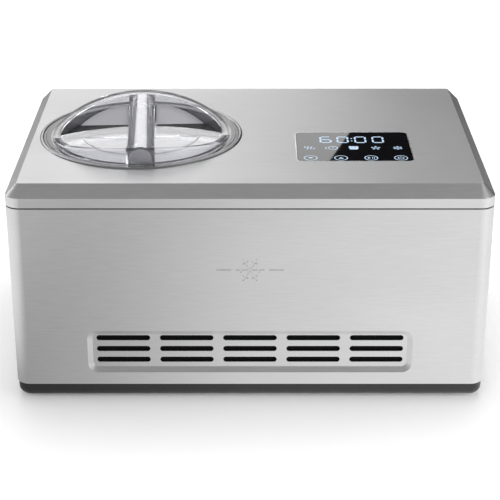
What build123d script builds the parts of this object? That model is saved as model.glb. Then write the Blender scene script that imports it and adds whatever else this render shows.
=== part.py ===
from build123d import *
import os
from math import atan, cos, pi, radians, sin, sqrt, tan

# Compressor ice cream maker: a steel box with a bevelled cover, a glass touch panel, a clear
# lift-off lid, and inside it a chilled well with a bowl, a stirring drive and a cooling circuit.
# Millimetres, +Z up, origin on the floor under the centre of the box, front towards -Y.

os.makedirs("parts", exist_ok=True)

# ---------------------------------------------------------------- driving dimensions: the case
WIDTH = 425.0
DEPTH = 285.0
PLATE_TOP = 208.5
FOOT_HEIGHT = 3.0
TRAY_TOP = 17.0
SHELL_TOP = 188.2
COVER_BOTTOM = 189.4
BEVEL = 10.3
CORNER = 13.0
SHEET = 1.2
TRAY_WALL = 3.0
TRAY_FLOOR_TOP = FOOT_HEIGHT + 3.0
HALF_W = WIDTH / 2
HALF_D = DEPTH / 2

# ------------------------------------------------------- driving dimensions: front air intake
VENT_WIDTH = 292.0
VENT_HEIGHT = 42.0
VENT_Z = 49.9
VENT_SLOPE = 4.6
VENT_DEPTH = 3.0
SLOT_Z = 51.6
SLOT_LENGTH = 48.2
SLOT_HEIGHT = 5.2
SLOT_PITCH_X = 56.9
SLOT_PITCH_Z = 10.9

# ----------------------------------------------------------- driving dimensions: rear opening
REAR_X = 65.0
REAR_Z = 100.0
REAR_WIDTH = 250.0
REAR_HEIGHT = 136.0
REAR_FACE = HALF_D - 0.2
PANEL_THICK = 3.8
PANEL_GAP = 0.2
INLET_X = 160.0
ROCKER_X = 118.0
INLET_Z = 52.0

# ---------------------------------------------- driving dimensions: opening, well, bowl, lid
BOWL_X = -102.0
BOWL_Y = -4.4
HOLE_R = 92.0
COLLAR_R = 91.0
COLLAR_BORE = 84.5
WELL_BORE = 70.5
WELL_R = 72.0
WELL_FLOOR = 50.5
WELL_TOP = 190.0
FOAM_R = 88.0
FOAM_BORE = 79.0
FOAM_BOTTOM = 45.5
COIL_R = 75.6
COIL_TUBE = 3.2
BOWL_R = 70.0
BOWL_WALL = 1.2
BOWL_BOTTOM = 53.0
BOWL_TOP = 191.5
LID_R = 83.0
LID_FLANGE_R = 88.5
LID_WALL = 2.0
LID_POCKET_R = 76.0
LID_FLOOR = PLATE_TOP - 8.0
LID_BOTTOM = PLATE_TOP - 16.0
LID_DIP = 1.0
LID_RISE = 15.0
LID_TURN = 3.0
SHELF_TOP = PLATE_TOP - 0.5
SHELF_BOTTOM = SHELF_TOP - 2.0
SHELF_BULGE = 22.0
SHELF_CURVE = 135.5
STEP_R = 55.0
STEP_BACK = 8.0
STEP_LINE = 1.6
BAR_R = 12.6
BAR_WALL = 2.0
BAIL_R = 64.4
BAIL_WIRE = 1.7
BAIL_Z = 182.0

# --------------------------------------------------------- driving dimensions: stirring drive
SHAFT_R = 5.0
SHAFT_TOP = 106.0
SQUARE = 7.0
RUN_GAP = 0.05
BOX_BOTTOM = 8.0
BOX_RIM = 39.0
BOX_TOP = 43.0
BOX_WALL = 2.5
COARSE_MODULE = 1.75
OUTPUT_TEETH = 60
IDLER_PINION_TEETH = 16
FINE_MODULE = 1.25
IDLER_WHEEL_TEETH = 62
MOTOR_TEETH = 18
IDLER_X = BOWL_X + COARSE_MODULE * (OUTPUT_TEETH + IDLER_PINION_TEETH) / 2
MOTOR_X = IDLER_X + FINE_MODULE * (IDLER_WHEEL_TEETH + MOTOR_TEETH) / 2
MOTOR_R = 22.0
MOTOR_TOP = 103.0

# --------------------------------------------------------- driving dimensions: cooling circuit
COMP_X = 118.0
COMP_Y = 5.0
COMP_R = 52.0
COMP_BOTTOM = 24.0
COMP_TOP = 134.0
STUB_TOP = 140.0
FAN_X = 112.0
FAN_Z = 95.0
FAN_SIZE = 110.0
FAN_BACK = -75.0
FAN_DEPTH = 25.0
FAN_BORE = 51.0
COND_Y = -117.0
COND_DEPTH = 22.0
COND_LOW_Z = 40.0
COND_PITCH = 20.0
COND_PASSES = 6
COND_LEFT = 40.0
COND_RIGHT = 186.0
PIPE_R = 3.2
CAPILLARY_R = 1.5
DRIER_X = 48.0
DRIER_Y = 100.0
DRIER_BOTTOM = 60.0
DRIER_TOP = 132.0

# ----------------------------------------------------------- driving dimensions: touch panel
GLASS_X = 94.8
GLASS_Y = -39.8
GLASS_W = 104.4
GLASS_D = 76.0
GLASS_TOP = PLATE_TOP + 0.2


# ------------------------------------------------------------------------------ shared helpers
def at_bowl(height):
    """A level plane centred on the bowl's axis, `height` above the floor."""
    return Plane((BOWL_X, BOWL_Y, height))


def at_lid(height):
    """A level plane centred on the bowl's axis and turned with the lid."""
    turned = (cos(radians(LID_TURN)), sin(radians(LID_TURN)), 0)
    return Plane((BOWL_X, BOWL_Y, height), x_dir=turned, z_dir=(0, 0, 1))


def facing_front(x, y, z):
    """A plane at a point of the front or rear face; its normal points to the front."""
    return Plane((x, y, z), x_dir=(1, 0, 0), z_dir=(0, -1, 0))


def ring_profile(axis_x, axis_y):
    """The upright plane through a vertical axis, for profiles that are revolved about it."""
    return Plane((axis_x, axis_y, 0), x_dir=(1, 0, 0), z_dir=(0, -1, 0))


def upright(x, y):
    """The vertical axis through a point of the floor."""
    return Axis((x, y, 0), (0, 0, 1))


def gear_outline(teeth, module, turn, backlash=0.12):
    """Points around an involute spur gear, the first tooth's middle at `turn` degrees."""
    pitch_r = module * teeth / 2
    base_r = pitch_r * cos(radians(20))
    tip_r = pitch_r + 0.95 * module
    root_r = pitch_r - 1.2 * module
    half = pi / (2 * teeth) - backlash / (2 * pitch_r)
    flat = tan(radians(20)) - radians(20)
    start_r = max(base_r, root_r + 0.1 * module)
    flank = []
    for step in range(4):
        radius = start_r + (tip_r - start_r) * step / 3
        roll = sqrt(max((radius / base_r) ** 2 - 1, 0))
        flank.append((radius, half + flat - (roll - atan(roll))))
    flank.insert(0, (root_r, flank[0][1]))
    points = []
    for tooth in range(teeth):
        middle = radians(turn) + 2 * pi * tooth / teeth
        points += [(r * cos(middle - a), r * sin(middle - a)) for r, a in flank]
        points += [(r * cos(middle + a), r * sin(middle + a)) for r, a in reversed(flank)]
    return points


# --------------------------------------------------------------------------------- outer shell
# A steel wrap with a pressed-in, slotted air intake in front and an opening at the back.
with BuildPart() as outer_shell:
    with BuildSketch(Plane.XY.offset(TRAY_TOP)):
        RectangleRounded(WIDTH, DEPTH, CORNER)
        RectangleRounded(WIDTH - 2 * SHEET, DEPTH - 2 * SHEET, CORNER - SHEET, mode=Mode.SUBTRACT)
    extrude(amount=SHELL_TOP - TRAY_TOP)
    for grow, deep, how in ((SHEET, VENT_DEPTH + SHEET, Mode.ADD), (0, VENT_DEPTH, Mode.SUBTRACT)):
        with BuildSketch(facing_front(0, -HALF_D, VENT_Z)):
            RectangleRounded(VENT_WIDTH + 2 * grow, VENT_HEIGHT + 2 * grow, 9 + grow)
        with BuildSketch(facing_front(0, -HALF_D + deep, VENT_Z)):
            wide = VENT_WIDTH - 2 * VENT_SLOPE + 2 * grow
            tall = VENT_HEIGHT - 2 * VENT_SLOPE + 2 * grow
            RectangleRounded(wide, tall, 5 + grow)
        loft(mode=how)
    with BuildSketch(facing_front(0, -HALF_D + VENT_DEPTH / 2, SLOT_Z)):
        with GridLocations(SLOT_PITCH_X, SLOT_PITCH_Z, 5, 3):
            SlotOverall(SLOT_LENGTH, SLOT_HEIGHT)
    extrude(amount=-VENT_DEPTH - SHEET, mode=Mode.SUBTRACT)
    with BuildSketch(facing_front(REAR_X, HALF_D + 1, REAR_Z)):
        RectangleRounded(REAR_WIDTH, REAR_HEIGHT, 6)
    extrude(amount=2 + SHEET, mode=Mode.SUBTRACT)
    # four welded tabs behind the rear opening that the panel's screws bite into
    tab_y = REAR_FACE - PANEL_THICK
    with BuildSketch(facing_front(REAR_X, tab_y, REAR_Z)):
        with GridLocations(REAR_WIDTH + 2, REAR_HEIGHT - 36, 2, 2):
            Rectangle(26, 14)
    extrude(amount=SHEET)
    with BuildSketch(facing_front(REAR_X, HALF_D - SHEET, REAR_Z)):
        with GridLocations(REAR_WIDTH + 18, REAR_HEIGHT - 36, 2, 2):
            Rectangle(10, 14)
    extrude(amount=HALF_D - SHEET - tab_y)
    with BuildSketch(facing_front(REAR_X, tab_y, REAR_Z)):
        with GridLocations(REAR_WIDTH - 16, REAR_HEIGHT - 36, 2, 2):
            Circle(1.5)
    extrude(amount=SHEET, mode=Mode.SUBTRACT)
    # a pressed six-armed frost mark between two dashes, on the front above the intake
    with BuildSketch(facing_front(0, -HALF_D, PLATE_TOP - 77)):
        with PolarLocations(0, 6):
            with Locations((6.5, 0)):
                SlotOverall(12, 1.8)
        with PolarLocations(8, 6):
            with Locations((0, 0)):
                SlotOverall(6, 1.6, rotation=90)
        with Locations((-23, 0), (23, 0)):
            SlotOverall(13, 1.8)
    extrude(amount=-0.5, mode=Mode.SUBTRACT)

# ----------------------------------------------------------------------------------- top cover
# A folded cover with a 45 degree bevel, a round opening and the window of the touch panel.
with BuildPart() as top_cover:
    with BuildSketch(Plane.XY.offset(COVER_BOTTOM)):
        RectangleRounded(WIDTH, DEPTH, CORNER)
    extrude(amount=PLATE_TOP - COVER_BOTTOM)
    chamfer(top_cover.faces().sort_by(Axis.Z)[-1].outer_wire().edges(), BEVEL)
    with BuildSketch(Plane.XY.offset(COVER_BOTTOM)):
        RectangleRounded(WIDTH - 3, DEPTH - 3, CORNER - 1.5)
    extrude(amount=PLATE_TOP - COVER_BOTTOM - BEVEL - 0.6, mode=Mode.SUBTRACT)
    with BuildSketch(Plane.XY.offset(PLATE_TOP - BEVEL - 0.6)):
        RectangleRounded(WIDTH - 3, DEPTH - 3, CORNER - 1.5)
    with BuildSketch(Plane.XY.offset(PLATE_TOP - SHEET)):
        RectangleRounded(WIDTH - 2 * BEVEL - 2, DEPTH - 2 * BEVEL - 2, 2)
    loft(mode=Mode.SUBTRACT)
    with BuildSketch(at_bowl(PLATE_TOP)):
        Circle(HOLE_R)
    extrude(amount=-2 * SHEET, mode=Mode.SUBTRACT)
    with BuildSketch(Plane((GLASS_X, GLASS_Y, PLATE_TOP))):
        RectangleRounded(GLASS_W + 0.4, GLASS_D + 0.4, 5.2)
    extrude(amount=-2 * SHEET, mode=Mode.SUBTRACT)

# --------------------------------------------------------------------------------- seam gasket
# A dark band set back in the seam between the wrap and the cover.
with BuildPart() as seam_gasket:
    with BuildSketch(Plane.XY.offset(SHELL_TOP)):
        RectangleRounded(WIDTH - 2.2, DEPTH - 2.2, CORNER - 1.1)
        RectangleRounded(WIDTH - 8, DEPTH - 8, CORNER - 4, mode=Mode.SUBTRACT)
    extrude(amount=COVER_BOTTOM - SHELL_TOP)

# ----------------------------------------------------------------------------------- base tray
# A black moulded tray that carries everything; its rounded bottom edge sits on four feet.
TRAY_INSET = 1.0
FOOT_X = 182.0
FOOT_Y = 114.0
COMP_BOLT_X = 50.0
COMP_BOLT_Y = 42.0
BOSS_TOP = 14.0
with BuildPart() as base_tray:
    with BuildSketch(Plane.XY.offset(FOOT_HEIGHT)):
        RectangleRounded(WIDTH - 2 * TRAY_INSET, DEPTH - 2 * TRAY_INSET, CORNER - TRAY_INSET)
    extrude(amount=TRAY_TOP - FOOT_HEIGHT)
    fillet(base_tray.faces().sort_by(Axis.Z)[0].edges(), 8)
    with BuildSketch(Plane.XY.offset(TRAY_TOP)):
        RectangleRounded(WIDTH - 2 * SHEET - 0.4, DEPTH - 2 * SHEET - 0.4, CORNER - SHEET - 0.2)
    extrude(amount=6)
    with BuildSketch(Plane.XY.offset(TRAY_FLOOR_TOP)):
        RectangleRounded(WIDTH - 17, DEPTH - 17, CORNER - 6)
    extrude(amount=TRAY_TOP - TRAY_FLOOR_TOP, mode=Mode.SUBTRACT)
    with BuildSketch(Plane.XY.offset(TRAY_TOP)):
        inner = SHEET + 0.2 + TRAY_WALL
        RectangleRounded(WIDTH - 2 * inner, DEPTH - 2 * inner, CORNER - inner)
    extrude(amount=6, mode=Mode.SUBTRACT)
    with BuildSketch(Plane((COMP_X, COMP_Y, TRAY_FLOOR_TOP))):
        with GridLocations(2 * COMP_BOLT_X, 2 * COMP_BOLT_Y, 2, 2):
            Circle(7)
    extrude(amount=BOSS_TOP - TRAY_FLOOR_TOP)
    with BuildSketch(Plane((COMP_X, COMP_Y, BOSS_TOP))):
        with GridLocations(2 * COMP_BOLT_X, 2 * COMP_BOLT_Y, 2, 2):
            Circle(3)
    extrude(amount=-6, mode=Mode.SUBTRACT)
    with BuildSketch(Plane((BOWL_X, BOWL_Y, TRAY_FLOOR_TOP))):
        with Locations((-40, -30), (-40, 30), (95, 0), (40, -30), (40, 30)):
            Circle(6)
    extrude(amount=BOX_BOTTOM - TRAY_FLOOR_TOP)
    with BuildSketch(Plane.XY):
        with GridLocations(2 * FOOT_X, 2 * FOOT_Y, 2, 2):
            Circle(4)
    extrude(amount=TRAY_FLOOR_TOP, mode=Mode.SUBTRACT)
    with BuildSketch(Plane((30, 104, 0))):
        with GridLocations(12, 44, 20, 1):
            SlotOverall(40, 5, rotation=90)
    extrude(amount=TRAY_FLOOR_TOP, mode=Mode.SUBTRACT)

# ---------------------------------------------------------------------------------------- feet
with BuildPart() as feet:
    with BuildSketch(Plane.XY):
        with GridLocations(2 * FOOT_X, 2 * FOOT_Y, 2, 2):
            Circle(11)
    extrude(amount=FOOT_HEIGHT)
    chamfer(feet.faces().filter_by(Plane.XY).sort_by(Axis.Z)[:4].edges(), 0.8)
    with BuildSketch(Plane.XY.offset(FOOT_HEIGHT)):
        with GridLocations(2 * FOOT_X, 2 * FOOT_Y, 2, 2):
            Circle(4)
    extrude(amount=TRAY_FLOOR_TOP - FOOT_HEIGHT + 1)

# ---------------------------------------------------------------------------------- rear panel
LOUVRE_X = 8.0
with BuildPart() as rear_panel:
    with BuildSketch(facing_front(REAR_X, REAR_FACE, REAR_Z)):
        RectangleRounded(REAR_WIDTH - 2 * PANEL_GAP, REAR_HEIGHT - 2 * PANEL_GAP, 5.8)
    extrude(amount=PANEL_THICK)
    with BuildSketch(facing_front(LOUVRE_X, REAR_FACE, REAR_Z + 6)):
        with GridLocations(60, 9, 2, 12):
            SlotOverall(50, 4.4)
    extrude(amount=PANEL_THICK, mode=Mode.SUBTRACT)
    with BuildSketch(facing_front(142, REAR_FACE, REAR_Z + 24)):
        with GridLocations(44, 9, 2, 6):
            SlotOverall(36, 4.4)
    extrude(amount=PANEL_THICK, mode=Mode.SUBTRACT)
    with BuildSketch(facing_front(INLET_X, REAR_FACE, INLET_Z)):
        Rectangle(28, 20.4)
    extrude(amount=PANEL_THICK, mode=Mode.SUBTRACT)
    with BuildSketch(facing_front(ROCKER_X, REAR_FACE, INLET_Z)):
        Rectangle(19.4, 13.2)
    extrude(amount=PANEL_THICK, mode=Mode.SUBTRACT)
    with BuildSketch(facing_front(REAR_X, REAR_FACE, REAR_Z)):
        with GridLocations(REAR_WIDTH - 16, REAR_HEIGHT - 36, 2, 2):
            Circle(3.2)
    extrude(amount=2, mode=Mode.SUBTRACT)
    with BuildSketch(facing_front(REAR_X, REAR_FACE, REAR_Z)):
        with GridLocations(REAR_WIDTH - 16, REAR_HEIGHT - 36, 2, 2):
            Circle(1.5)
    extrude(amount=PANEL_THICK, mode=Mode.SUBTRACT)

# --------------------------------------------------------------------------------- rear screws
with BuildPart() as rear_screws:
    with BuildSketch(facing_front(REAR_X, REAR_FACE - 0.2, REAR_Z)):
        with GridLocations(REAR_WIDTH - 16, REAR_HEIGHT - 36, 2, 2):
            Circle(3.0)
    extrude(amount=1.8)
    with BuildSketch(facing_front(REAR_X, REAR_FACE - 0.2, REAR_Z)):
        with GridLocations(REAR_WIDTH - 16, REAR_HEIGHT - 36, 2, 2):
            Rectangle(3.6, 0.8)
            Rectangle(0.8, 3.6)
    extrude(amount=0.9, mode=Mode.SUBTRACT)
    with BuildSketch(facing_front(REAR_X, REAR_FACE - 2, REAR_Z)):
        with GridLocations(REAR_WIDTH - 16, REAR_HEIGHT - 36, 2, 2):
            Circle(1.5)
    extrude(amount=PANEL_THICK + 2)

# ----------------------------------------------------------------------------------- inlet
# A three-pin appliance inlet: a body behind the panel with a socket open to the back.
with BuildPart() as mains_inlet:
    with BuildSketch(facing_front(INLET_X, REAR_FACE, INLET_Z)):
        Rectangle(27.8, 20.2)
    extrude(amount=26)
    with BuildSketch(facing_front(INLET_X, REAR_FACE, INLET_Z)):
        with BuildLine():
            Polyline((-11.8, -8), (11.8, -8), (11.8, 4), (8, 8), (-8, 8), (-11.8, 4), close=True)
        make_face()
    extrude(amount=19, mode=Mode.SUBTRACT)
    with BuildSketch(facing_front(INLET_X, REAR_FACE - 19, INLET_Z)):
        with Locations((-7, -1), (7, -1), (0, 3)):
            Rectangle(2, 4)
    extrude(amount=-16)

# ------------------------------------------------------------------------------ rocker bezel
ROCKER_PIN_Y = REAR_FACE - 5.2
ROCKER_TILT = 9


def across_rocker(x):
    """The plane across the rocker's pin at `x`; its first direction points to the back."""
    return Plane((x, ROCKER_PIN_Y, INLET_Z), x_dir=(0, 1, 0), z_dir=(1, 0, 0))


with BuildPart() as rocker_bezel:
    with BuildSketch(facing_front(ROCKER_X, REAR_FACE, INLET_Z)):
        Rectangle(19.2, 13)
    extrude(amount=16)
    with BuildSketch(facing_front(ROCKER_X, REAR_FACE, INLET_Z)):
        Rectangle(16, 9.6)
    extrude(amount=12, mode=Mode.SUBTRACT)
    with BuildSketch(across_rocker(ROCKER_X - 9.6)):
        Circle(1.25)
    extrude(amount=19.2, mode=Mode.SUBTRACT)

# -------------------------------------------------------------------------------- rocker key
# It rests tilted to its off side and turns about a pin along X.
ROCKER_PROFILE = ((-2.4, -2.5), (-2.4, 2.5), (4.6, 4.0), (3.9, 0), (4.6, -4.0))
with BuildPart() as rocker_key:
    with BuildSketch(across_rocker(ROCKER_X - 7.6)):
        with BuildLine():
            Polyline(*(Vector(x, y).rotate(Axis.Z, -ROCKER_TILT) for x, y in ROCKER_PROFILE), close=True)
        make_face()
    extrude(amount=15.2)
    with BuildSketch(across_rocker(ROCKER_X - 9.4)):
        Circle(1.2)
    extrude(amount=18.8)

# ------------------------------------------------------------------------------ opening trim
# The rolled steel lip around the round opening, with a short sleeve through the cover.
with BuildPart() as opening_trim:
    with BuildSketch(ring_profile(BOWL_X, BOWL_Y)):
        with BuildLine():
            Line((COLLAR_R, PLATE_TOP - 3), (HOLE_R, PLATE_TOP - 3))
            Line((HOLE_R, PLATE_TOP - 3), (HOLE_R, PLATE_TOP))
            Line((HOLE_R, PLATE_TOP), (HOLE_R + 2.8, PLATE_TOP))
            ThreePointArc((HOLE_R + 2.8, PLATE_TOP), (HOLE_R + 1, PLATE_TOP + 1.3), (COLLAR_R, PLATE_TOP))
            Line((COLLAR_R, PLATE_TOP), (COLLAR_R, PLATE_TOP - 3))
        make_face()
    revolve(axis=upright(BOWL_X, BOWL_Y))

# --------------------------------------------------------------------------------- well collar
# A grey funnel under the opening: it seals against the cover and carries the well and the lid.
COLLAR_LEDGE = PLATE_TOP - 1.5
with BuildPart() as well_collar:
    with BuildSketch(ring_profile(BOWL_X, BOWL_Y)):
        with BuildLine():
            Polyline(
                (LID_FLANGE_R + 0.4, PLATE_TOP + 0.1),
                (COLLAR_R, PLATE_TOP + 0.1),
                (COLLAR_R, PLATE_TOP - 3),
                (HOLE_R + 4, PLATE_TOP - 3),
                (HOLE_R + 4, PLATE_TOP - 5),
                (COLLAR_BORE + 1.5, PLATE_TOP - 5),
                (COLLAR_BORE + 1.5, WELL_TOP - 3.5),
                (WELL_R + 4, WELL_TOP - 3.5),
                (WELL_R + 4, WELL_TOP - 1.5),
                (COLLAR_BORE, WELL_TOP - 1.5),
                (COLLAR_BORE, COLLAR_LEDGE),
                (LID_FLANGE_R + 0.4, COLLAR_LEDGE),
                close=True,
            )
        make_face()
    revolve(axis=upright(BOWL_X, BOWL_Y))

# ------------------------------------------------------------------------------ chilled well
# The aluminium well that the bowl hangs in; its floor has a neck around the drive shaft.
with BuildPart() as chilled_well:
    with BuildSketch(ring_profile(BOWL_X, BOWL_Y)):
        with BuildLine():
            Polyline(
                (8, WELL_FLOOR),
                (WELL_R, WELL_FLOOR),
                (WELL_R, WELL_TOP - 1.5),
                (COLLAR_BORE - 0.5, WELL_TOP - 1.5),
                (COLLAR_BORE - 0.5, WELL_TOP),
                (WELL_BORE, WELL_TOP),
                (WELL_BORE, WELL_FLOOR + 1.5),
                (8, WELL_FLOOR + 1.5),
                close=True,
            )
        make_face()
    revolve(axis=upright(BOWL_X, BOWL_Y))

# --------------------------------------------------------------------------- evaporator coil
# Tube wound around the well; both ends leave towards the compressor.
COIL_LOW = 64.0
COIL_PITCH = 12.0
COIL_TURNS = 9.5
TAIL_X = BOWL_X + 82
COIL_HIGH = COIL_LOW + COIL_PITCH * COIL_TURNS
with BuildPart() as evaporator_coil:
    with BuildLine():
        turns = Helix(COIL_PITCH, COIL_PITCH * COIL_TURNS, COIL_R,
                      center=(BOWL_X, BOWL_Y, COIL_LOW)).rotate(upright(BOWL_X, BOWL_Y), 90)
    with BuildSketch(Plane(turns @ 0, z_dir=turns % 0)):
        Circle(COIL_TUBE)
    sweep(path=turns, is_frenet=True)
    for tail_y, height in ((COIL_R, COIL_LOW), (-COIL_R, COIL_HIGH)):
        with BuildSketch(Plane((BOWL_X, BOWL_Y + tail_y, height), x_dir=(0, 1, 0), z_dir=(1, 0, 0))):
            Circle(COIL_TUBE)
        extrude(amount=TAIL_X - BOWL_X)

# ------------------------------------------------------------------------------ foam jacket
# Insulation around and under the well, with passages for the two ends of the coil.
with BuildPart() as foam_jacket:
    with BuildSketch(at_bowl(FOAM_BOTTOM)):
        Circle(FOAM_R)
        Circle(12, mode=Mode.SUBTRACT)
    extrude(amount=WELL_FLOOR - FOAM_BOTTOM)
    with BuildSketch(at_bowl(WELL_FLOOR)):
        Circle(FOAM_R)
        Circle(FOAM_BORE, mode=Mode.SUBTRACT)
    extrude(amount=WELL_TOP - 3.5 - WELL_FLOOR)
    for tail_y, height in ((COIL_R, COIL_LOW), (-COIL_R, COIL_HIGH)):
        with BuildSketch(Plane((BOWL_X, BOWL_Y + tail_y, height), x_dir=(0, 1, 0), z_dir=(1, 0, 0))):
            Circle(COIL_TUBE + 0.3)
        extrude(amount=FOAM_R, mode=Mode.SUBTRACT)

# ------------------------------------------------------------------------------------- bowl
# The removable bowl: a rolled rim, a rounded floor, a centre neck and two ears for the bail.
NECK_R = 9.5
NECK_BORE = 8.0
NECK_TOP = 92.0
BOWL_ROUND = 6.0
with BuildPart() as bowl:
    with BuildSketch(ring_profile(BOWL_X, BOWL_Y)):
        with BuildLine():
            Polyline(
                (NECK_BORE, BOWL_BOTTOM),
                (BOWL_R, BOWL_BOTTOM),
                (BOWL_R, WELL_TOP),
                (BOWL_R + 5, WELL_TOP),
                (BOWL_R + 5, BOWL_TOP),
                (BOWL_R - BOWL_WALL, BOWL_TOP),
                (BOWL_R - BOWL_WALL, BOWL_BOTTOM + BOWL_WALL),
                (NECK_R, BOWL_BOTTOM + BOWL_WALL),
                (NECK_R, NECK_TOP),
                (NECK_BORE, NECK_TOP),
                close=True,
            )
        make_face()
    revolve(axis=upright(BOWL_X, BOWL_Y))
    fillet(bowl.edges().filter_by(GeomType.CIRCLE).filter_by(
        lambda e: abs(e.radius - BOWL_R) < 0.1 and e.center().Z < BOWL_BOTTOM + 0.1), BOWL_ROUND)
    fillet(bowl.edges().filter_by(GeomType.CIRCLE).filter_by(
        lambda e: abs(e.radius - BOWL_R + BOWL_WALL) < 0.1 and e.center().Z < BOWL_BOTTOM + 3),
        BOWL_ROUND - BOWL_WALL)
    with BuildSketch(at_bowl(BAIL_Z - 5)):
        with Locations((-BAIL_R - 3.7, 0), (BAIL_R + 3.7, 0)):
            Rectangle(3.2, 10)
    extrude(amount=10)
    with BuildSketch(Plane((BOWL_X, BOWL_Y, BAIL_Z), x_dir=(0, 1, 0), z_dir=(1, 0, 0))):
        Circle(BAIL_WIRE + RUN_GAP)
    extrude(amount=BAIL_R + 3.8, both=True, mode=Mode.SUBTRACT)

# -------------------------------------------------------------------------------------- bail
# The bowl's wire handle, folded flat towards the back; its ends turn out into the ears.
with BuildPart() as bail:
    with BuildLine():
        hoop = ThreePointArc((BOWL_X - BAIL_R, BOWL_Y, BAIL_Z), (BOWL_X, BOWL_Y + BAIL_R, BAIL_Z),
                             (BOWL_X + BAIL_R, BOWL_Y, BAIL_Z))
    with BuildSketch(Plane(hoop @ 0, z_dir=hoop % 0)):
        Circle(BAIL_WIRE)
    sweep(path=hoop)
    for side in (-1, 1):
        with BuildSketch(Plane((BOWL_X + side * (BAIL_R - BAIL_WIRE), BOWL_Y, BAIL_Z),
                               x_dir=(0, 1, 0), z_dir=(side, 0, 0))):
            Circle(BAIL_WIRE)
        extrude(amount=BAIL_WIRE + 3.6)
        with Locations((BOWL_X + side * BAIL_R, BOWL_Y, BAIL_Z)):
            Sphere(BAIL_WIRE)

# --------------------------------------------------------------------------------- bail grip
with BuildPart() as bail_grip:
    with BuildLine():
        hold = CenterArc((BOWL_X, BOWL_Y, BAIL_Z), BAIL_R, 62, 56)
    with BuildSketch(Plane(hold @ 0, z_dir=hold % 0)):
        Circle(3.6)
        Circle(BAIL_WIRE, mode=Mode.SUBTRACT)
    sweep(path=hold)

# --------------------------------------------------------------------------------------- lid
# A clear moulding: a rim that rises to the front and back, a hollow half-round bar, finger
# pockets on both sides of the bar at the back and a shelf in front of them.
with BuildSketch() as above_rim_sketch:
    with BuildLine():
        dip = Spline([(y, LID_DIP + LID_RISE * (y / LID_R) ** 2) for y in range(-90, 91, 30)])
        Polyline(dip @ 1, (90, 40), (-90, 40), dip @ 0)
    make_face()
above_rim = above_rim_sketch.sketch

with BuildPart() as rim_hollow:
    with BuildSketch(at_lid(LID_BOTTOM)):
        Circle(LID_R - LID_WALL)
        Circle(LID_POCKET_R + LID_WALL, mode=Mode.SUBTRACT)
    extrude(amount=PLATE_TOP + LID_RISE - LID_BOTTOM)
    with BuildSketch(Plane((BOWL_X, BOWL_Y, PLATE_TOP - 2.2), x_dir=at_lid(0).y_dir, z_dir=at_lid(0).x_dir)):
        add(above_rim)
    extrude(amount=LID_R + 5, both=True, mode=Mode.SUBTRACT)

with BuildPart() as lid:
    with BuildSketch(at_lid(LID_BOTTOM)):
        Circle(LID_R)
    extrude(amount=PLATE_TOP + LID_RISE + 3 - LID_BOTTOM)
    # the rim's height follows a parabola from the tips to the front and back
    with BuildSketch(Plane((BOWL_X, BOWL_Y, PLATE_TOP), x_dir=at_lid(0).y_dir, z_dir=at_lid(0).x_dir)):
        add(above_rim)
    extrude(amount=LID_R + 5, both=True, mode=Mode.SUBTRACT)
    # hollows above and below the floor on both sides of the bar
    for height, reach in ((LID_FLOOR, 40), (LID_FLOOR - LID_WALL, LID_BOTTOM - LID_FLOOR + LID_WALL)):
        with BuildSketch(at_lid(height)):
            Circle(LID_POCKET_R)
            Rectangle(2 * BAR_R, 2 * LID_R, mode=Mode.SUBTRACT)
        extrude(amount=reach, mode=Mode.SUBTRACT)
    # the shelf over the front half; its back edge bows towards the back
    with BuildSketch(at_lid(SHELF_BOTTOM)):
        Circle(LID_POCKET_R + LID_WALL / 2)
        with Locations((0, SHELF_BULGE - SHELF_CURVE)):
            Circle(SHELF_CURVE, mode=Mode.INTERSECT)
        Rectangle(2 * BAR_R - 1, 2 * LID_R, mode=Mode.SUBTRACT)
    extrude(amount=SHELF_TOP - SHELF_BOTTOM)
    # the bar's half-round back
    bar_middle = PLATE_TOP + LID_RISE - BAR_R
    with BuildSketch(Plane((BOWL_X, BOWL_Y, bar_middle), x_dir=at_lid(0).x_dir, z_dir=at_lid(0).y_dir)):
        Circle(BAR_R)
        with Locations((0, BAR_R / 2)):
            Rectangle(2 * BAR_R, BAR_R)
    extrude(amount=LID_POCKET_R + 2, both=True)
    # hollow inside of the bar, open below
    with BuildSketch(Plane((BOWL_X, BOWL_Y, bar_middle), x_dir=at_lid(0).x_dir, z_dir=at_lid(0).y_dir)):
        Circle(BAR_R - BAR_WALL)
        with Locations((0, 20)):
            Rectangle(2 * (BAR_R - BAR_WALL), 40)
    extrude(amount=LID_POCKET_R, both=True, mode=Mode.SUBTRACT)
    add(rim_hollow.part, mode=Mode.SUBTRACT)
    # flange that rests on the collar
    with BuildSketch(at_lid(PLATE_TOP - 1.5)):
        Circle(LID_FLANGE_R)
        Circle(LID_R - LID_WALL / 2, mode=Mode.SUBTRACT)
    extrude(amount=2)
    # raised D-shaped line on the shelf
    with BuildSketch(at_lid(SHELF_TOP)):
        Circle(STEP_R)
        Circle(STEP_R - STEP_LINE, mode=Mode.SUBTRACT)
        with Locations((0, STEP_R - STEP_BACK)):
            Rectangle(2 * STEP_R, 2 * STEP_R, mode=Mode.SUBTRACT)
        with Locations((0, -STEP_BACK)):
            Rectangle(2 * STEP_R - 2, STEP_LINE)
        Rectangle(2 * BAR_R - 1, 2 * LID_R, mode=Mode.SUBTRACT)
    extrude(amount=0.8)

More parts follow.
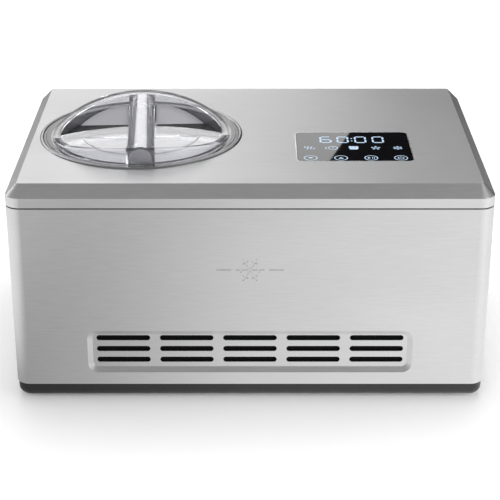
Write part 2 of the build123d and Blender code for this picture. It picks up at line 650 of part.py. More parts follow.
# ------------------------------------------------------------------------------------ paddle
# The stirring paddle: a hub that drops over the neck onto the square of the drive shaft, a
# scraping arm that reaches the wall, a shorter mixing arm and a stem to pull it out by.
HUB_R = 12.5
HUB_BORE = 10.0
HUB_BOTTOM = 55.5
SCRAPER_R = 68.0
ARM_HIGH = 176.0
with BuildPart() as paddle:
    with BuildSketch(at_bowl(HUB_BOTTOM)):
        Circle(HUB_R)
    extrude(amount=SHAFT_TOP + 6 - HUB_BOTTOM)
    with BuildSketch(at_bowl(SHAFT_TOP + 6)):
        Circle(HUB_R - 3)
    extrude(amount=52)
    with BuildSketch(at_bowl(SHAFT_TOP + 58)):
        Circle(HUB_R)
    extrude(amount=10)
    fillet(paddle.faces().sort_by(Axis.Z)[-1].edges(), 3)
    # scraping arm: a slanted frame with two windows
    with BuildSketch(Plane((BOWL_X, BOWL_Y, 0), x_dir=(1, 0, 0), z_dir=(0, -1, 0))):
        with BuildLine():
            Polyline((8, 56.5), (62, 56.5), (SCRAPER_R - 0.6, 62), (SCRAPER_R - 0.6, ARM_HIGH),
                     (56, ARM_HIGH), (50, 110), (8, 92), close=True)
        make_face()
        with BuildLine():
            Polyline((20, 66), (56, 66), (57, 100), (50, 98), (20, 86), close=True)
        make_face(mode=Mode.SUBTRACT)
    extrude(amount=2.2, both=True)
    # mixing arm: two rods on a foot
    with BuildSketch(Plane((BOWL_X, BOWL_Y, 0), x_dir=(1, 0, 0), z_dir=(0, -1, 0))):
        with BuildLine():
            Polyline((-8, 56.5), (-58, 56.5), (-60, 66), (-52, 70), (-8, 72), close=True)
        make_face()
        with Locations((-28, 106), (-46, 96)):
            Rectangle(7, 80)
    extrude(amount=2.2, both=True)
    # inside of the hub
    with BuildSketch(at_bowl(HUB_BOTTOM)):
        Circle(HUB_BORE)
    extrude(amount=NECK_TOP + 1 - HUB_BOTTOM, mode=Mode.SUBTRACT)
    with BuildSketch(at_bowl(NECK_TOP)):
        Rectangle(SQUARE + 0.16, SQUARE + 0.16)
    extrude(amount=SHAFT_TOP + 0.4 - NECK_TOP, mode=Mode.SUBTRACT)

# --------------------------------------------------------------------------- gearbox housing
WHEEL_LOW = 14.0
WHEEL_HIGH = 24.0
FINE_LOW = 27.0
FINE_HIGH = 35.0
IDLER_SHAFT_R = 3.0
MOTOR_SHAFT_R = 2.5
LUG_PLACES = [(x, BOWL_Y + side * y) for x, y in ((-150, 39.6), (-68, 52.6), (8, 27.5)) for side in (-1, 1)]


def drive_outline(grow, lugs=True):
    """The hull around the three gear centres, `grow` larger, with its screw lugs."""
    with BuildSketch(mode=Mode.PRIVATE) as outline:
        with Locations((BOWL_X, BOWL_Y)):
            Circle(56 + grow)
        with Locations((IDLER_X, BOWL_Y)):
            Circle(42 + grow)
        with Locations((MOTOR_X, BOWL_Y)):
            Circle(14 + grow)
        make_hull()
        if lugs:
            with Locations(*LUG_PLACES):
                Circle(5)
    return outline.sketch


with BuildPart() as gearbox_housing:
    with BuildSketch(Plane.XY.offset(BOX_BOTTOM)):
        add(drive_outline(BOX_WALL))
    extrude(amount=BOX_RIM - BOX_BOTTOM)
    with BuildSketch(Plane.XY.offset(BOX_BOTTOM + BOX_WALL)):
        add(drive_outline(0, lugs=False))
        with Locations(*LUG_PLACES):
            Circle(5, mode=Mode.SUBTRACT)
    extrude(amount=BOX_RIM - BOX_BOTTOM, mode=Mode.SUBTRACT)
    for x, radius in ((BOWL_X, SHAFT_R), (IDLER_X, IDLER_SHAFT_R)):
        with BuildSketch(Plane((x, BOWL_Y, BOX_BOTTOM + BOX_WALL))):
            Circle(radius + 3)
        extrude(amount=2.5)
        with BuildSketch(Plane((x, BOWL_Y, BOX_BOTTOM + 1))):
            Circle(radius + RUN_GAP)
        extrude(amount=4, mode=Mode.SUBTRACT)
    with BuildSketch(Plane.XY.offset(BOX_RIM)):
        with Locations(*LUG_PLACES):
            Circle(1.5)
    extrude(amount=-12, mode=Mode.SUBTRACT)

# ----------------------------------------------------------------------------- gearbox cover
with BuildPart() as gearbox_cover:
    with BuildSketch(Plane.XY.offset(BOX_RIM)):
        add(drive_outline(BOX_WALL))
    extrude(amount=BOX_TOP - BOX_RIM)
    with BuildSketch(at_bowl(BOX_TOP)):
        Circle(SHAFT_R + 4)
    extrude(amount=4)
    with BuildSketch(at_bowl(BOX_RIM)):
        Circle(SHAFT_R + RUN_GAP)
    extrude(amount=9, mode=Mode.SUBTRACT)
    with BuildSketch(Plane((IDLER_X, BOWL_Y, BOX_RIM))):
        Circle(IDLER_SHAFT_R + RUN_GAP)
    extrude(amount=3, mode=Mode.SUBTRACT)
    with BuildSketch(Plane((MOTOR_X, BOWL_Y, BOX_RIM))):
        Circle(12.8)
    extrude(amount=BOX_TOP - BOX_RIM, mode=Mode.SUBTRACT)
    with BuildSketch(Plane.XY.offset(BOX_RIM)):
        with Locations(*LUG_PLACES):
            Circle(1.5)
    extrude(amount=BOX_TOP - BOX_RIM, mode=Mode.SUBTRACT)

# ---------------------------------------------------------------------------- gearbox screws
with BuildPart() as gearbox_screws:
    with BuildSketch(Plane.XY.offset(BOX_TOP)):
        with Locations(*LUG_PLACES):
            Circle(2.8)
    extrude(amount=2)
    with BuildSketch(Plane.XY.offset(BOX_TOP)):
        with Locations(*LUG_PLACES):
            Circle(1.5)
    extrude(amount=-15)

# ----------------------------------------------------------------------------- output gear
with BuildPart() as output_gear:
    with BuildSketch(at_bowl(WHEEL_LOW)):
        Polygon(*gear_outline(OUTPUT_TEETH, COARSE_MODULE, 0), align=None)
        with PolarLocations(31, 6):
            Circle(9, mode=Mode.SUBTRACT)
    extrude(amount=WHEEL_HIGH - WHEEL_LOW)
    with BuildSketch(at_bowl(WHEEL_LOW - 0.5)):
        Circle(10)
    extrude(amount=WHEEL_HIGH - WHEEL_LOW + 4)
    with BuildSketch(at_bowl(WHEEL_LOW - 0.5)):
        Circle(SHAFT_R)
    extrude(amount=WHEEL_HIGH - WHEEL_LOW + 4, mode=Mode.SUBTRACT)

# ----------------------------------------------------------------------------- drive shaft
with BuildPart() as drive_shaft:
    with BuildSketch(at_bowl(BOX_BOTTOM + 1.2)):
        Circle(SHAFT_R)
    extrude(amount=NECK_TOP - BOX_BOTTOM - 1.2)
    with BuildSketch(at_bowl(NECK_TOP)):
        Rectangle(SQUARE, SQUARE)
    extrude(amount=SHAFT_TOP - NECK_TOP)
    chamfer(drive_shaft.faces().sort_by(Axis.Z)[-1].edges(), 0.6)

# ------------------------------------------------------------------------------- idler gear
# Its small wheel meshes with the output gear, its large wheel with the motor pinion.
# At half turn offsets a tooth of one gear faces a gap of the next.
IDLER_TURN = 180.0 + 180.0 / IDLER_PINION_TEETH
with BuildPart() as idler_gear:
    with BuildSketch(Plane((IDLER_X, BOWL_Y, WHEEL_LOW - 0.5))):
        Polygon(*gear_outline(IDLER_PINION_TEETH, COARSE_MODULE, IDLER_TURN), align=None)
    extrude(amount=FINE_LOW - WHEEL_LOW + 0.5)
    with BuildSketch(Plane((IDLER_X, BOWL_Y, FINE_LOW))):
        Polygon(*gear_outline(IDLER_WHEEL_TEETH, FINE_MODULE, 0), align=None)
        with PolarLocations(25, 5):
            Circle(7.5, mode=Mode.SUBTRACT)
    extrude(amount=FINE_HIGH - FINE_LOW)
    with BuildSketch(Plane((IDLER_X, BOWL_Y, BOX_BOTTOM + 1.2))):
        Circle(IDLER_SHAFT_R)
    extrude(amount=BOX_RIM + 2.6 - BOX_BOTTOM - 1.2)

# ---------------------------------------------------------------------------- stirrer motor
with BuildPart() as motor_can:
    with BuildSketch(Plane((MOTOR_X, BOWL_Y, BOX_TOP))):
        Circle(MOTOR_R)
    extrude(amount=MOTOR_TOP - BOX_TOP)
    fillet(motor_can.faces().sort_by(Axis.Z)[-1].edges(), 2.5)
    with BuildSketch(Plane((MOTOR_X, BOWL_Y, BOX_TOP + 4))):
        Circle(MOTOR_R - 1.5)
    extrude(amount=MOTOR_TOP - BOX_TOP - 8, mode=Mode.SUBTRACT)
    with BuildSketch(Plane((MOTOR_X, BOWL_Y, BOX_TOP + 4))):
        Circle(MOTOR_R - 1.5)
        Circle(16, mode=Mode.SUBTRACT)
    extrude(amount=40)
    with BuildSketch(Plane((MOTOR_X, BOWL_Y, BOX_TOP))):
        Circle(MOTOR_SHAFT_R + RUN_GAP)
    extrude(amount=MOTOR_TOP - BOX_TOP - 1, mode=Mode.SUBTRACT)

# ----------------------------------------------------------------------------- motor rotor
MOTOR_TURN = 180.0 + 180.0 / MOTOR_TEETH
with BuildPart() as motor_rotor:
    with BuildSketch(Plane((MOTOR_X, BOWL_Y, FINE_LOW - 1))):
        Polygon(*gear_outline(MOTOR_TEETH, FINE_MODULE, MOTOR_TURN), align=None)
    extrude(amount=FINE_HIGH - FINE_LOW + 2)
    with BuildSketch(Plane((MOTOR_X, BOWL_Y, FINE_LOW - 2))):
        Circle(MOTOR_SHAFT_R)
    extrude(amount=MOTOR_TOP - 1.4 - FINE_LOW + 2)
    with BuildSketch(Plane((MOTOR_X, BOWL_Y, BOX_TOP + 7))):
        Circle(15)
        with PolarLocations(15, 12):
            Rectangle(5, 1.6, mode=Mode.SUBTRACT)
    extrude(amount=34)

# -------------------------------------------------------------------------- compressor can
# A welded two-shell can with a seam flange and two pipe stubs on its flat top.
DISCHARGE_STUB = (COMP_X - 22, COMP_Y - 12)
SUCTION_STUB = (COMP_X + 22, COMP_Y + 14)
with BuildPart() as compressor_can:
    with BuildSketch(Plane((COMP_X, COMP_Y, COMP_BOTTOM))):
        Circle(COMP_R)
    extrude(amount=COMP_TOP - COMP_BOTTOM)
    fillet(compressor_can.edges().filter_by(GeomType.CIRCLE), 18)
    with BuildSketch(Plane((COMP_X, COMP_Y, 82))):
        Circle(COMP_R + 2.5)
    extrude(amount=3)
    with BuildSketch(Plane.XY.offset(COMP_TOP - 1)):
        with Locations(DISCHARGE_STUB, SUCTION_STUB):
            Circle(4.6)
    extrude(amount=STUB_TOP - COMP_TOP + 1)

# ------------------------------------------------------------------------- compressor base
with BuildPart() as compressor_base:
    with BuildSketch(Plane((COMP_X, COMP_Y, COMP_BOTTOM - 3))):
        RectangleRounded(2 * COMP_BOLT_X + 20, 2 * COMP_BOLT_Y + 20, 9)
        with GridLocations(2 * COMP_BOLT_X, 2 * COMP_BOLT_Y, 2, 2):
            Circle(3, mode=Mode.SUBTRACT)
    extrude(amount=3)

# --------------------------------------------------------------------- compressor grommets
with BuildPart() as compressor_grommets:
    with BuildSketch(Plane((COMP_X, COMP_Y, BOSS_TOP))):
        with GridLocations(2 * COMP_BOLT_X, 2 * COMP_BOLT_Y, 2, 2):
            Circle(7.5)
            Circle(3, mode=Mode.SUBTRACT)
    extrude(amount=COMP_BOTTOM - 3 - BOSS_TOP)
    chamfer(compressor_grommets.edges().filter_by(GeomType.CIRCLE).filter_by(lambda e: e.radius > 7), 1)

# ------------------------------------------------------------------------ compressor bolts
with BuildPart() as compressor_bolts:
    with BuildSketch(Plane((COMP_X, COMP_Y, COMP_BOTTOM))):
        with GridLocations(2 * COMP_BOLT_X, 2 * COMP_BOLT_Y, 2, 2):
            RegularPolygon(5.2, 6)
    extrude(amount=4)
    with BuildSketch(Plane((COMP_X, COMP_Y, COMP_BOTTOM))):
        with GridLocations(2 * COMP_BOLT_X, 2 * COMP_BOLT_Y, 2, 2):
            Circle(3)
    extrude(amount=-15)

# ------------------------------------------------------------------------------- fan frame
FAN_SHAFT_R = 2.0
with BuildPart() as fan_frame:
    with BuildSketch(facing_front(FAN_X, FAN_BACK, FAN_Z)):
        RectangleRounded(FAN_SIZE, FAN_SIZE, 6)
        Circle(FAN_BORE, mode=Mode.SUBTRACT)
        with GridLocations(FAN_SIZE - 11, FAN_SIZE - 11, 2, 2):
            Circle(2.1, mode=Mode.SUBTRACT)
    extrude(amount=FAN_DEPTH)
    with BuildSketch(facing_front(FAN_X, FAN_BACK, FAN_Z)):
        Circle(20)
        with PolarLocations(36, 4):
            Rectangle(36, 5)
    extrude(amount=3)
    with BuildSketch(facing_front(FAN_X, FAN_BACK, FAN_Z)):
        Circle(6)
    extrude(amount=10)
    with BuildSketch(facing_front(FAN_X, FAN_BACK - 2, FAN_Z)):
        Circle(FAN_SHAFT_R + RUN_GAP)
    extrude(amount=10, mode=Mode.SUBTRACT)

# ------------------------------------------------------------------------------- fan rotor
BLADES = 7
with BuildPart() as fan_rotor:
    with BuildSketch(facing_front(FAN_X, FAN_BACK - 4, FAN_Z)):
        Circle(19)
    extrude(amount=19)
    with BuildSketch(facing_front(FAN_X, FAN_BACK - 3.5, FAN_Z)):
        Circle(17)
        Circle(FAN_SHAFT_R, mode=Mode.SUBTRACT)
    extrude(amount=17, mode=Mode.SUBTRACT)
    with BuildSketch(facing_front(FAN_X, FAN_BACK - 2.4, FAN_Z)):
        Circle(FAN_SHAFT_R)
    extrude(amount=19)
    for blade in range(BLADES):
        for depth, twist in ((6, 0), (21, 22)):
            turn = radians(360 * blade / BLADES + twist)
            along = (cos(turn), 0, sin(turn))
            with BuildSketch(Plane((FAN_X, FAN_BACK - depth, FAN_Z), x_dir=along, z_dir=(0, -1, 0))):
                with Locations((33, 0)):
                    Rectangle(31, 2.2)
        loft()

# -------------------------------------------------------------------------- condenser fins
FIN_COUNT = 28
FIN_PITCH = 5.0
COND_MIDDLE = (COND_LEFT + COND_RIGHT) / 2
COND_MID_Z = COND_LOW_Z + COND_PITCH * (COND_PASSES - 1) / 2
FIN_THICK = 0.8
with BuildPart() as condenser_fins:
    for fin in range(FIN_COUNT):
        fin_x = COND_MIDDLE + FIN_PITCH * (fin - (FIN_COUNT - 1) / 2) - FIN_THICK / 2
        with BuildSketch(Plane((fin_x, COND_Y, COND_MID_Z), x_dir=(0, 1, 0), z_dir=(1, 0, 0))):
            Rectangle(COND_DEPTH, COND_PITCH * COND_PASSES - 4)
            with GridLocations(COND_DEPTH, COND_PITCH, 1, COND_PASSES):
                Circle(PIPE_R, mode=Mode.SUBTRACT)
        extrude(amount=FIN_THICK)

# -------------------------------------------------------------------------- condenser tube
with BuildPart() as condenser_tube:
    with BuildLine() as serpentine:
        for run in range(COND_PASSES):
            height = COND_LOW_Z + COND_PITCH * run
            Line((COND_LEFT, COND_Y, height), (COND_RIGHT, COND_Y, height))
        for bend in range(COND_PASSES - 1):
            height = COND_LOW_Z + COND_PITCH * bend
            end_x, swing = (COND_RIGHT, 1) if bend % 2 == 0 else (COND_LEFT, -1)
            ThreePointArc(
                (end_x, COND_Y, height),
                (end_x + swing * COND_PITCH / 2, COND_Y, height + COND_PITCH / 2),
                (end_x, COND_Y, height + COND_PITCH),
            )
    with BuildSketch(Plane((COND_LEFT, COND_Y, COND_LOW_Z), x_dir=(0, 1, 0), z_dir=(1, 0, 0))):
        Circle(PIPE_R)
    sweep(path=serpentine.wires()[0])

# ----------------------------------------------------------------------------- filter drier
with BuildPart() as filter_drier:
    with BuildSketch(ring_profile(DRIER_X, DRIER_Y)):
        with BuildLine():
            Polyline((0, DRIER_BOTTOM), (PIPE_R, DRIER_BOTTOM), (PIPE_R + 1, DRIER_BOTTOM + 4),
                     (9, DRIER_BOTTOM + 12), (9, DRIER_TOP - 12), (PIPE_R, DRIER_TOP - 4),
                     (PIPE_R, DRIER_TOP), (0, DRIER_TOP), close=True)
        make_face()
    revolve(axis=upright(DRIER_X, DRIER_Y))

# ----------------------------------------------------------------------------------- piping
# Each pipe starts and ends face to face with what it joins.
COND_HIGH_Z = COND_LOW_Z + COND_PITCH * (COND_PASSES - 1)
COIL_TAIL_LOW = (TAIL_X, BOWL_Y + COIL_R, COIL_LOW)
COIL_TAIL_HIGH = (TAIL_X, BOWL_Y - COIL_R, COIL_HIGH)
ROUTES = {
    "discharge_pipe": (PIPE_R, 7, (
        (*DISCHARGE_STUB, STUB_TOP), (*DISCHARGE_STUB, 160), (22, -50, 160), (22, COND_Y, 160),
        (22, COND_Y, COND_HIGH_Z), (COND_LEFT, COND_Y, COND_HIGH_Z))),
    "suction_pipe": (PIPE_R, 7, (
        COIL_TAIL_HIGH, (40, BOWL_Y - COIL_R, COIL_HIGH), (SUCTION_STUB[0], SUCTION_STUB[1] - 40, 170),
        (*SUCTION_STUB, 165), (*SUCTION_STUB, STUB_TOP))),
    "liquid_pipe": (PIPE_R, 6, (
        (COND_LEFT, COND_Y, COND_LOW_Z), (22, COND_Y, COND_LOW_Z), (22, -70, 54), (48, -44, 54),
        (48, 70, 50), (DRIER_X, DRIER_Y, 46), (DRIER_X, DRIER_Y, DRIER_BOTTOM))),
    "capillary_tube": (CAPILLARY_R, 5, (
        (DRIER_X, DRIER_Y, DRIER_TOP), (DRIER_X, DRIER_Y, 146), (8, DRIER_Y, 146),
        (8, COIL_TAIL_LOW[1], COIL_LOW), COIL_TAIL_LOW)),
}


def pipe(radius, bend, points):
    """A round rod along straight runs joined by bends."""
    with BuildPart(mode=Mode.PRIVATE) as rod:
        with BuildLine() as route:
            FilletPolyline(*points, radius=bend)
        run = route.wires()[0]
        with BuildSketch(Plane(run @ 0, z_dir=run % 0)):
            Circle(radius)
        sweep(path=run)
    return rod


discharge_pipe = pipe(*ROUTES["discharge_pipe"])
suction_pipe = pipe(*ROUTES["suction_pipe"])
liquid_pipe = pipe(*ROUTES["liquid_pipe"])
capillary_tube = pipe(*ROUTES["capillary_tube"])

# ------------------------------------------------------------------------------ power board
BOARD_X = 188.0
BOARD_Y = 30.0
BOARD_Z = 100.0
BOARD_W = 130.0
BOARD_H = 90.0
with BuildPart() as power_board:
    beside = Plane((BOARD_X, BOARD_Y, BOARD_Z), x_dir=(0, 1, 0), z_dir=(1, 0, 0))
    with BuildSketch(beside):
        RectangleRounded(BOARD_W, BOARD_H, 2)
        with GridLocations(BOARD_W - 10, BOARD_H - 10, 2, 2):
            Circle(1.6, mode=Mode.SUBTRACT)
    extrude(amount=1.6)
    with BuildSketch(beside):
        with Locations((40, 22)):
            Rectangle(34, 30)
        with Locations((40, -22)):
            Rectangle(24, 20)
        with Locations((-50, 28), (-50, 0)):
            Rectangle(14, 20)
    extrude(amount=-10)
    with BuildSketch(beside):
        with Locations((5, 26), (5, 8), (5, -10)):
            Circle(6)
    extrude(amount=-9)

# ------------------------------------------------------------------------------ board posts
with BuildPart() as board_posts:
    with BuildSketch(Plane((BOARD_X + 1.6, BOARD_Y, BOARD_Z), x_dir=(0, 1, 0), z_dir=(1, 0, 0))):
        with GridLocations(BOARD_W - 10, BOARD_H - 10, 2, 2):
            RegularPolygon(4, 6)
    extrude(amount=HALF_W - SHEET - BOARD_X - 1.6)

# ---------------------------------------------------------------------------- display glass
with BuildPart() as display_glass:
    with BuildSketch(Plane((GLASS_X, GLASS_Y, GLASS_TOP - 2.8))):
        RectangleRounded(GLASS_W, GLASS_D, 5)
    extrude(amount=2.8)
    chamfer(display_glass.faces().sort_by(Axis.Z)[-1].edges(), 0.3)

# --------------------------------------------------------------------------- display module
# The black tray behind the glass, with a flange under the cover and lamp wells for the lights.
with BuildPart() as display_module:
    with BuildSketch(Plane((GLASS_X, GLASS_Y, GLASS_TOP - 2.8))):
        RectangleRounded(GLASS_W + 8, GLASS_D + 8, 6)
    extrude(amount=-8)
    with BuildSketch(Plane((GLASS_X, GLASS_Y + 18.5, GLASS_TOP - 2.8))):
        Rectangle(72, 26)
    extrude(amount=-7, mode=Mode.SUBTRACT)
    with BuildSketch(Plane((GLASS_X, GLASS_Y - 3, GLASS_TOP - 2.8))):
        with GridLocations(20.4, 1, 5, 1):
            Rectangle(12, 8)
    extrude(amount=-7, mode=Mode.SUBTRACT)
    with BuildSketch(Plane((GLASS_X, GLASS_Y - 27, GLASS_TOP - 2.8))):
        with GridLocations(27.4, 1, 4, 1):
            Rectangle(13, 11)
    extrude(amount=-7, mode=Mode.SUBTRACT)

# ---------------------------------------------------------------------------- display board
with BuildPart() as display_board:
    with BuildSketch(Plane((GLASS_X, GLASS_Y, GLASS_TOP - 10.8))):
        RectangleRounded(GLASS_W + 4, GLASS_D + 4, 2)
    extrude(amount=-1.6)
    with BuildSketch(Plane((GLASS_X, GLASS_Y, GLASS_TOP - 12.4))):
        with Locations((-30, 10), (10, 10)):
            Rectangle(14, 14)
        with Locations((35, -15)):
            Rectangle(10, 24)
    extrude(amount=-3)

# ------------------------------------------------------------------------------------ export
PIECES = {
    "outer_shell": outer_shell,
    "top_cover": top_cover,
    "seam_gasket": seam_gasket,
    "base_tray": base_tray,
    "feet": feet,
    "rear_panel": rear_panel,
    "rear_screws": rear_screws,
    "mains_inlet": mains_inlet,
    "rocker_bezel": rocker_bezel,
    "rocker_key": rocker_key,
    "opening_trim": opening_trim,
    "well_collar": well_collar,
    "chilled_well": chilled_well,
    "evaporator_coil": evaporator_coil,
    "foam_jacket": foam_jacket,
    "bowl": bowl,
    "bail": bail,
    "bail_grip": bail_grip,
    "lid": lid,
    "paddle": paddle,
    "gearbox_housing": gearbox_housing,
    "gearbox_cover": gearbox_cover,
    "gearbox_screws": gearbox_screws,
    "output_gear": output_gear,
    "drive_shaft": drive_shaft,
    "idler_gear": idler_gear,
    "motor_can": motor_can,
    "motor_rotor": motor_rotor,
    "compressor_can": compressor_can,
    "compressor_base": compressor_base,
    "compressor_grommets": compressor_grommets,
    "compressor_bolts": compressor_bolts,
    "fan_frame": fan_frame,
    "fan_rotor": fan_rotor,
    "condenser_fins": condenser_fins,
    "condenser_tube": condenser_tube,
    "filter_drier": filter_drier,
    "discharge_pipe": discharge_pipe,
    "suction_pipe": suction_pipe,
    "liquid_pipe": liquid_pipe,
    "capillary_tube": capillary_tube,
    "power_board": power_board,
    "board_posts": board_posts,
    "display_glass": display_glass,
    "display_module": display_module,
    "display_board": display_board,
}
for label, piece in PIECES.items():
    piece.part.label = label
    export_step(piece.part, f"parts/{label}.step")
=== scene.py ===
"""A compressor ice cream maker: finishes, panel lights and small fittings around the fixed frame."""
import logging
import math
from collections.abc import Callable
from dataclasses import dataclass
from enum import Enum

import bmesh
import bpy
from mathutils import Matrix, Vector


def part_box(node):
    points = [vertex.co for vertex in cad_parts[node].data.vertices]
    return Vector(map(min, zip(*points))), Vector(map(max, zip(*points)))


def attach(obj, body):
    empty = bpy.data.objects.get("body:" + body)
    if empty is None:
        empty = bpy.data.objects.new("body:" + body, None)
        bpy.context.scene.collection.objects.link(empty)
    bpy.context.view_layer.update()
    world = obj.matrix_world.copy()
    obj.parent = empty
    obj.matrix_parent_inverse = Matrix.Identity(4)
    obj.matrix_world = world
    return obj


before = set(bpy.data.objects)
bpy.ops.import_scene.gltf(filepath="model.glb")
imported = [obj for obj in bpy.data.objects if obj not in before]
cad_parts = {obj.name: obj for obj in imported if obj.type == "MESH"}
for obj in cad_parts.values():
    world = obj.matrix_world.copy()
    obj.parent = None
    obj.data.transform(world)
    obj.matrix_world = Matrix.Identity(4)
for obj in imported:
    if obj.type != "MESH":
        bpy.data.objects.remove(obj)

log = logging.getLogger("ice_cream_maker")

Point = tuple[float, float, float]
Tone = tuple[float, float, float]
MM = 0.001
# Parts of a noise's range from 0 to 1 that a finish spreads its tone or roughness over.
MIDDLE = (0.3, 0.7)
UPPER = (0.35, 0.75)
WIPED = (0.4, 0.8)


class Grain(Enum):
    """How the brushing or machining lines of a metal run."""

    LEVEL = "level"
    TURNED = "turned"
    CAST = "cast"


class Graph:
    """A material's node tree with short ways to add and join nodes."""

    def __init__(self, name: str) -> None:
        """Make an empty material.

        Args:
            name: The material's name.
        """
        self.material = bpy.data.materials.new(name)
        self.material.use_nodes = True
        self.tree = self.material.node_tree
        self.tree.nodes.clear()
        self.output = self.add("ShaderNodeOutputMaterial")

    def add(self, kind: str, **settings: object) -> bpy.types.Node:
        """Add a node and set its properties.

        Args:
            kind: The node's type.
            settings: Node properties by name.

        Returns:
            The new node.
        """
        node = self.tree.nodes.new(kind)
        for key, value in settings.items():
            setattr(node, key, value)
        return node

    def join(self, start: bpy.types.NodeSocket, end: bpy.types.NodeSocket) -> None:
        """Join an output socket to an input socket."""
        self.tree.links.new(start, end)

    def math(self, kind: str, *values: object) -> bpy.types.NodeSocket:
        """Add a Math node.

        Args:
            kind: The operation.
            values: Numbers or sockets for its inputs.

        Returns:
            Its result socket.
        """
        node = self.add("ShaderNodeMath", operation=kind)
        for place, value in zip(node.inputs, values):
            self.feed(place, value)
        return node.outputs[0]

    def vector(self, kind: str, *values: object) -> bpy.types.NodeSocket:
        """Add a Vector Math node.

        Args:
            kind: The operation.
            values: Tuples or sockets for its inputs.

        Returns:
            Its vector result socket.
        """
        node = self.add("ShaderNodeVectorMath", operation=kind)
        for place, value in zip(node.inputs, values):
            self.feed(place, value)
        return node.outputs[0]

    def feed(self, place: bpy.types.NodeSocket, value: object) -> None:
        """Give an input either a socket's output or a plain value.

        Args:
            place: The input socket.
            value: A socket to join to it, or a number or tuple to set on it.
        """
        if isinstance(value, bpy.types.NodeSocket):
            self.join(value, place)
        else:
            place.default_value = value

    def noise(self, where: object, scale: float, detail: float = 3.0) -> bpy.types.NodeSocket:
        """Add a noise texture.

        Args:
            where: The coordinate socket.
            scale: Features per metre.
            detail: Octaves.

        Returns:
            Its value socket, from 0 to 1.
        """
        node = self.add("ShaderNodeTexNoise")
        self.feed(node.inputs["Vector"], where)
        node.inputs["Scale"].default_value = scale
        node.inputs["Detail"].default_value = detail
        return node.outputs["Fac"]

    def spread(self, value: object, low: float, high: float,
               from_low: float = 0.0, from_high: float = 1.0) -> bpy.types.NodeSocket:
        """Map a value from one range to another.

        Args:
            value: The socket to map.
            low: Result at the start of the range.
            high: Result at its end.
            from_low: Start of the range.
            from_high: End of the range.

        Returns:
            The mapped socket.
        """
        node = self.add("ShaderNodeMapRange")
        for place, number in zip(node.inputs, (value, from_low, from_high, low, high)):
            self.feed(place, number)
        return node.outputs[0]

    def tint(self, mix: object, first: Tone, second: Tone) -> bpy.types.NodeSocket:
        """Blend two colours.

        Args:
            mix: The blend socket, 0 for the first colour.
            first: Colour at 0.
            second: Colour at 1.

        Returns:
            The colour socket.
        """
        node = self.add("ShaderNodeMix", data_type="RGBA")
        self.feed(node.inputs[0], mix)
        node.inputs[6].default_value = (*first, 1)
        node.inputs[7].default_value = (*second, 1)
        return node.outputs[2]

    def place(self) -> bpy.types.NodeSocket:
        """Return the object's own coordinates, in metres."""
        return self.add("ShaderNodeTexCoord").outputs["Object"]

    def surface(self, **values: object) -> bpy.types.Node:
        """Add the surface shader and wire it to the output.

        Args:
            values: Shader inputs by name, with spaces as underscores.

        Returns:
            The shader node.
        """
        node = self.add("ShaderNodeBsdfPrincipled")
        for key, value in values.items():
            self.feed(node.inputs[key.replace("_", " ")], value)
        self.join(node.outputs[0], self.output.inputs["Surface"])
        return node

    def relief(self, shader: bpy.types.Node, height: object, depth: float,
               strength: float = 1.0) -> None:
        """Give a shader a bump.

        Args:
            shader: The surface shader.
            height: The height socket, from 0 to 1.
            depth: Real depth in metres.
            strength: Share of the bump that shows.
        """
        node = self.add("ShaderNodeBump")
        node.inputs["Strength"].default_value = strength
        node.inputs["Distance"].default_value = depth
        self.feed(node.inputs["Height"], height)
        self.join(node.outputs[0], shader.inputs["Normal"])


def shade(tone: Tone, factor: float) -> Tone:
    """Return a colour made lighter or darker, kept below 1."""
    return tuple(min(part * factor, 1.0) for part in tone)


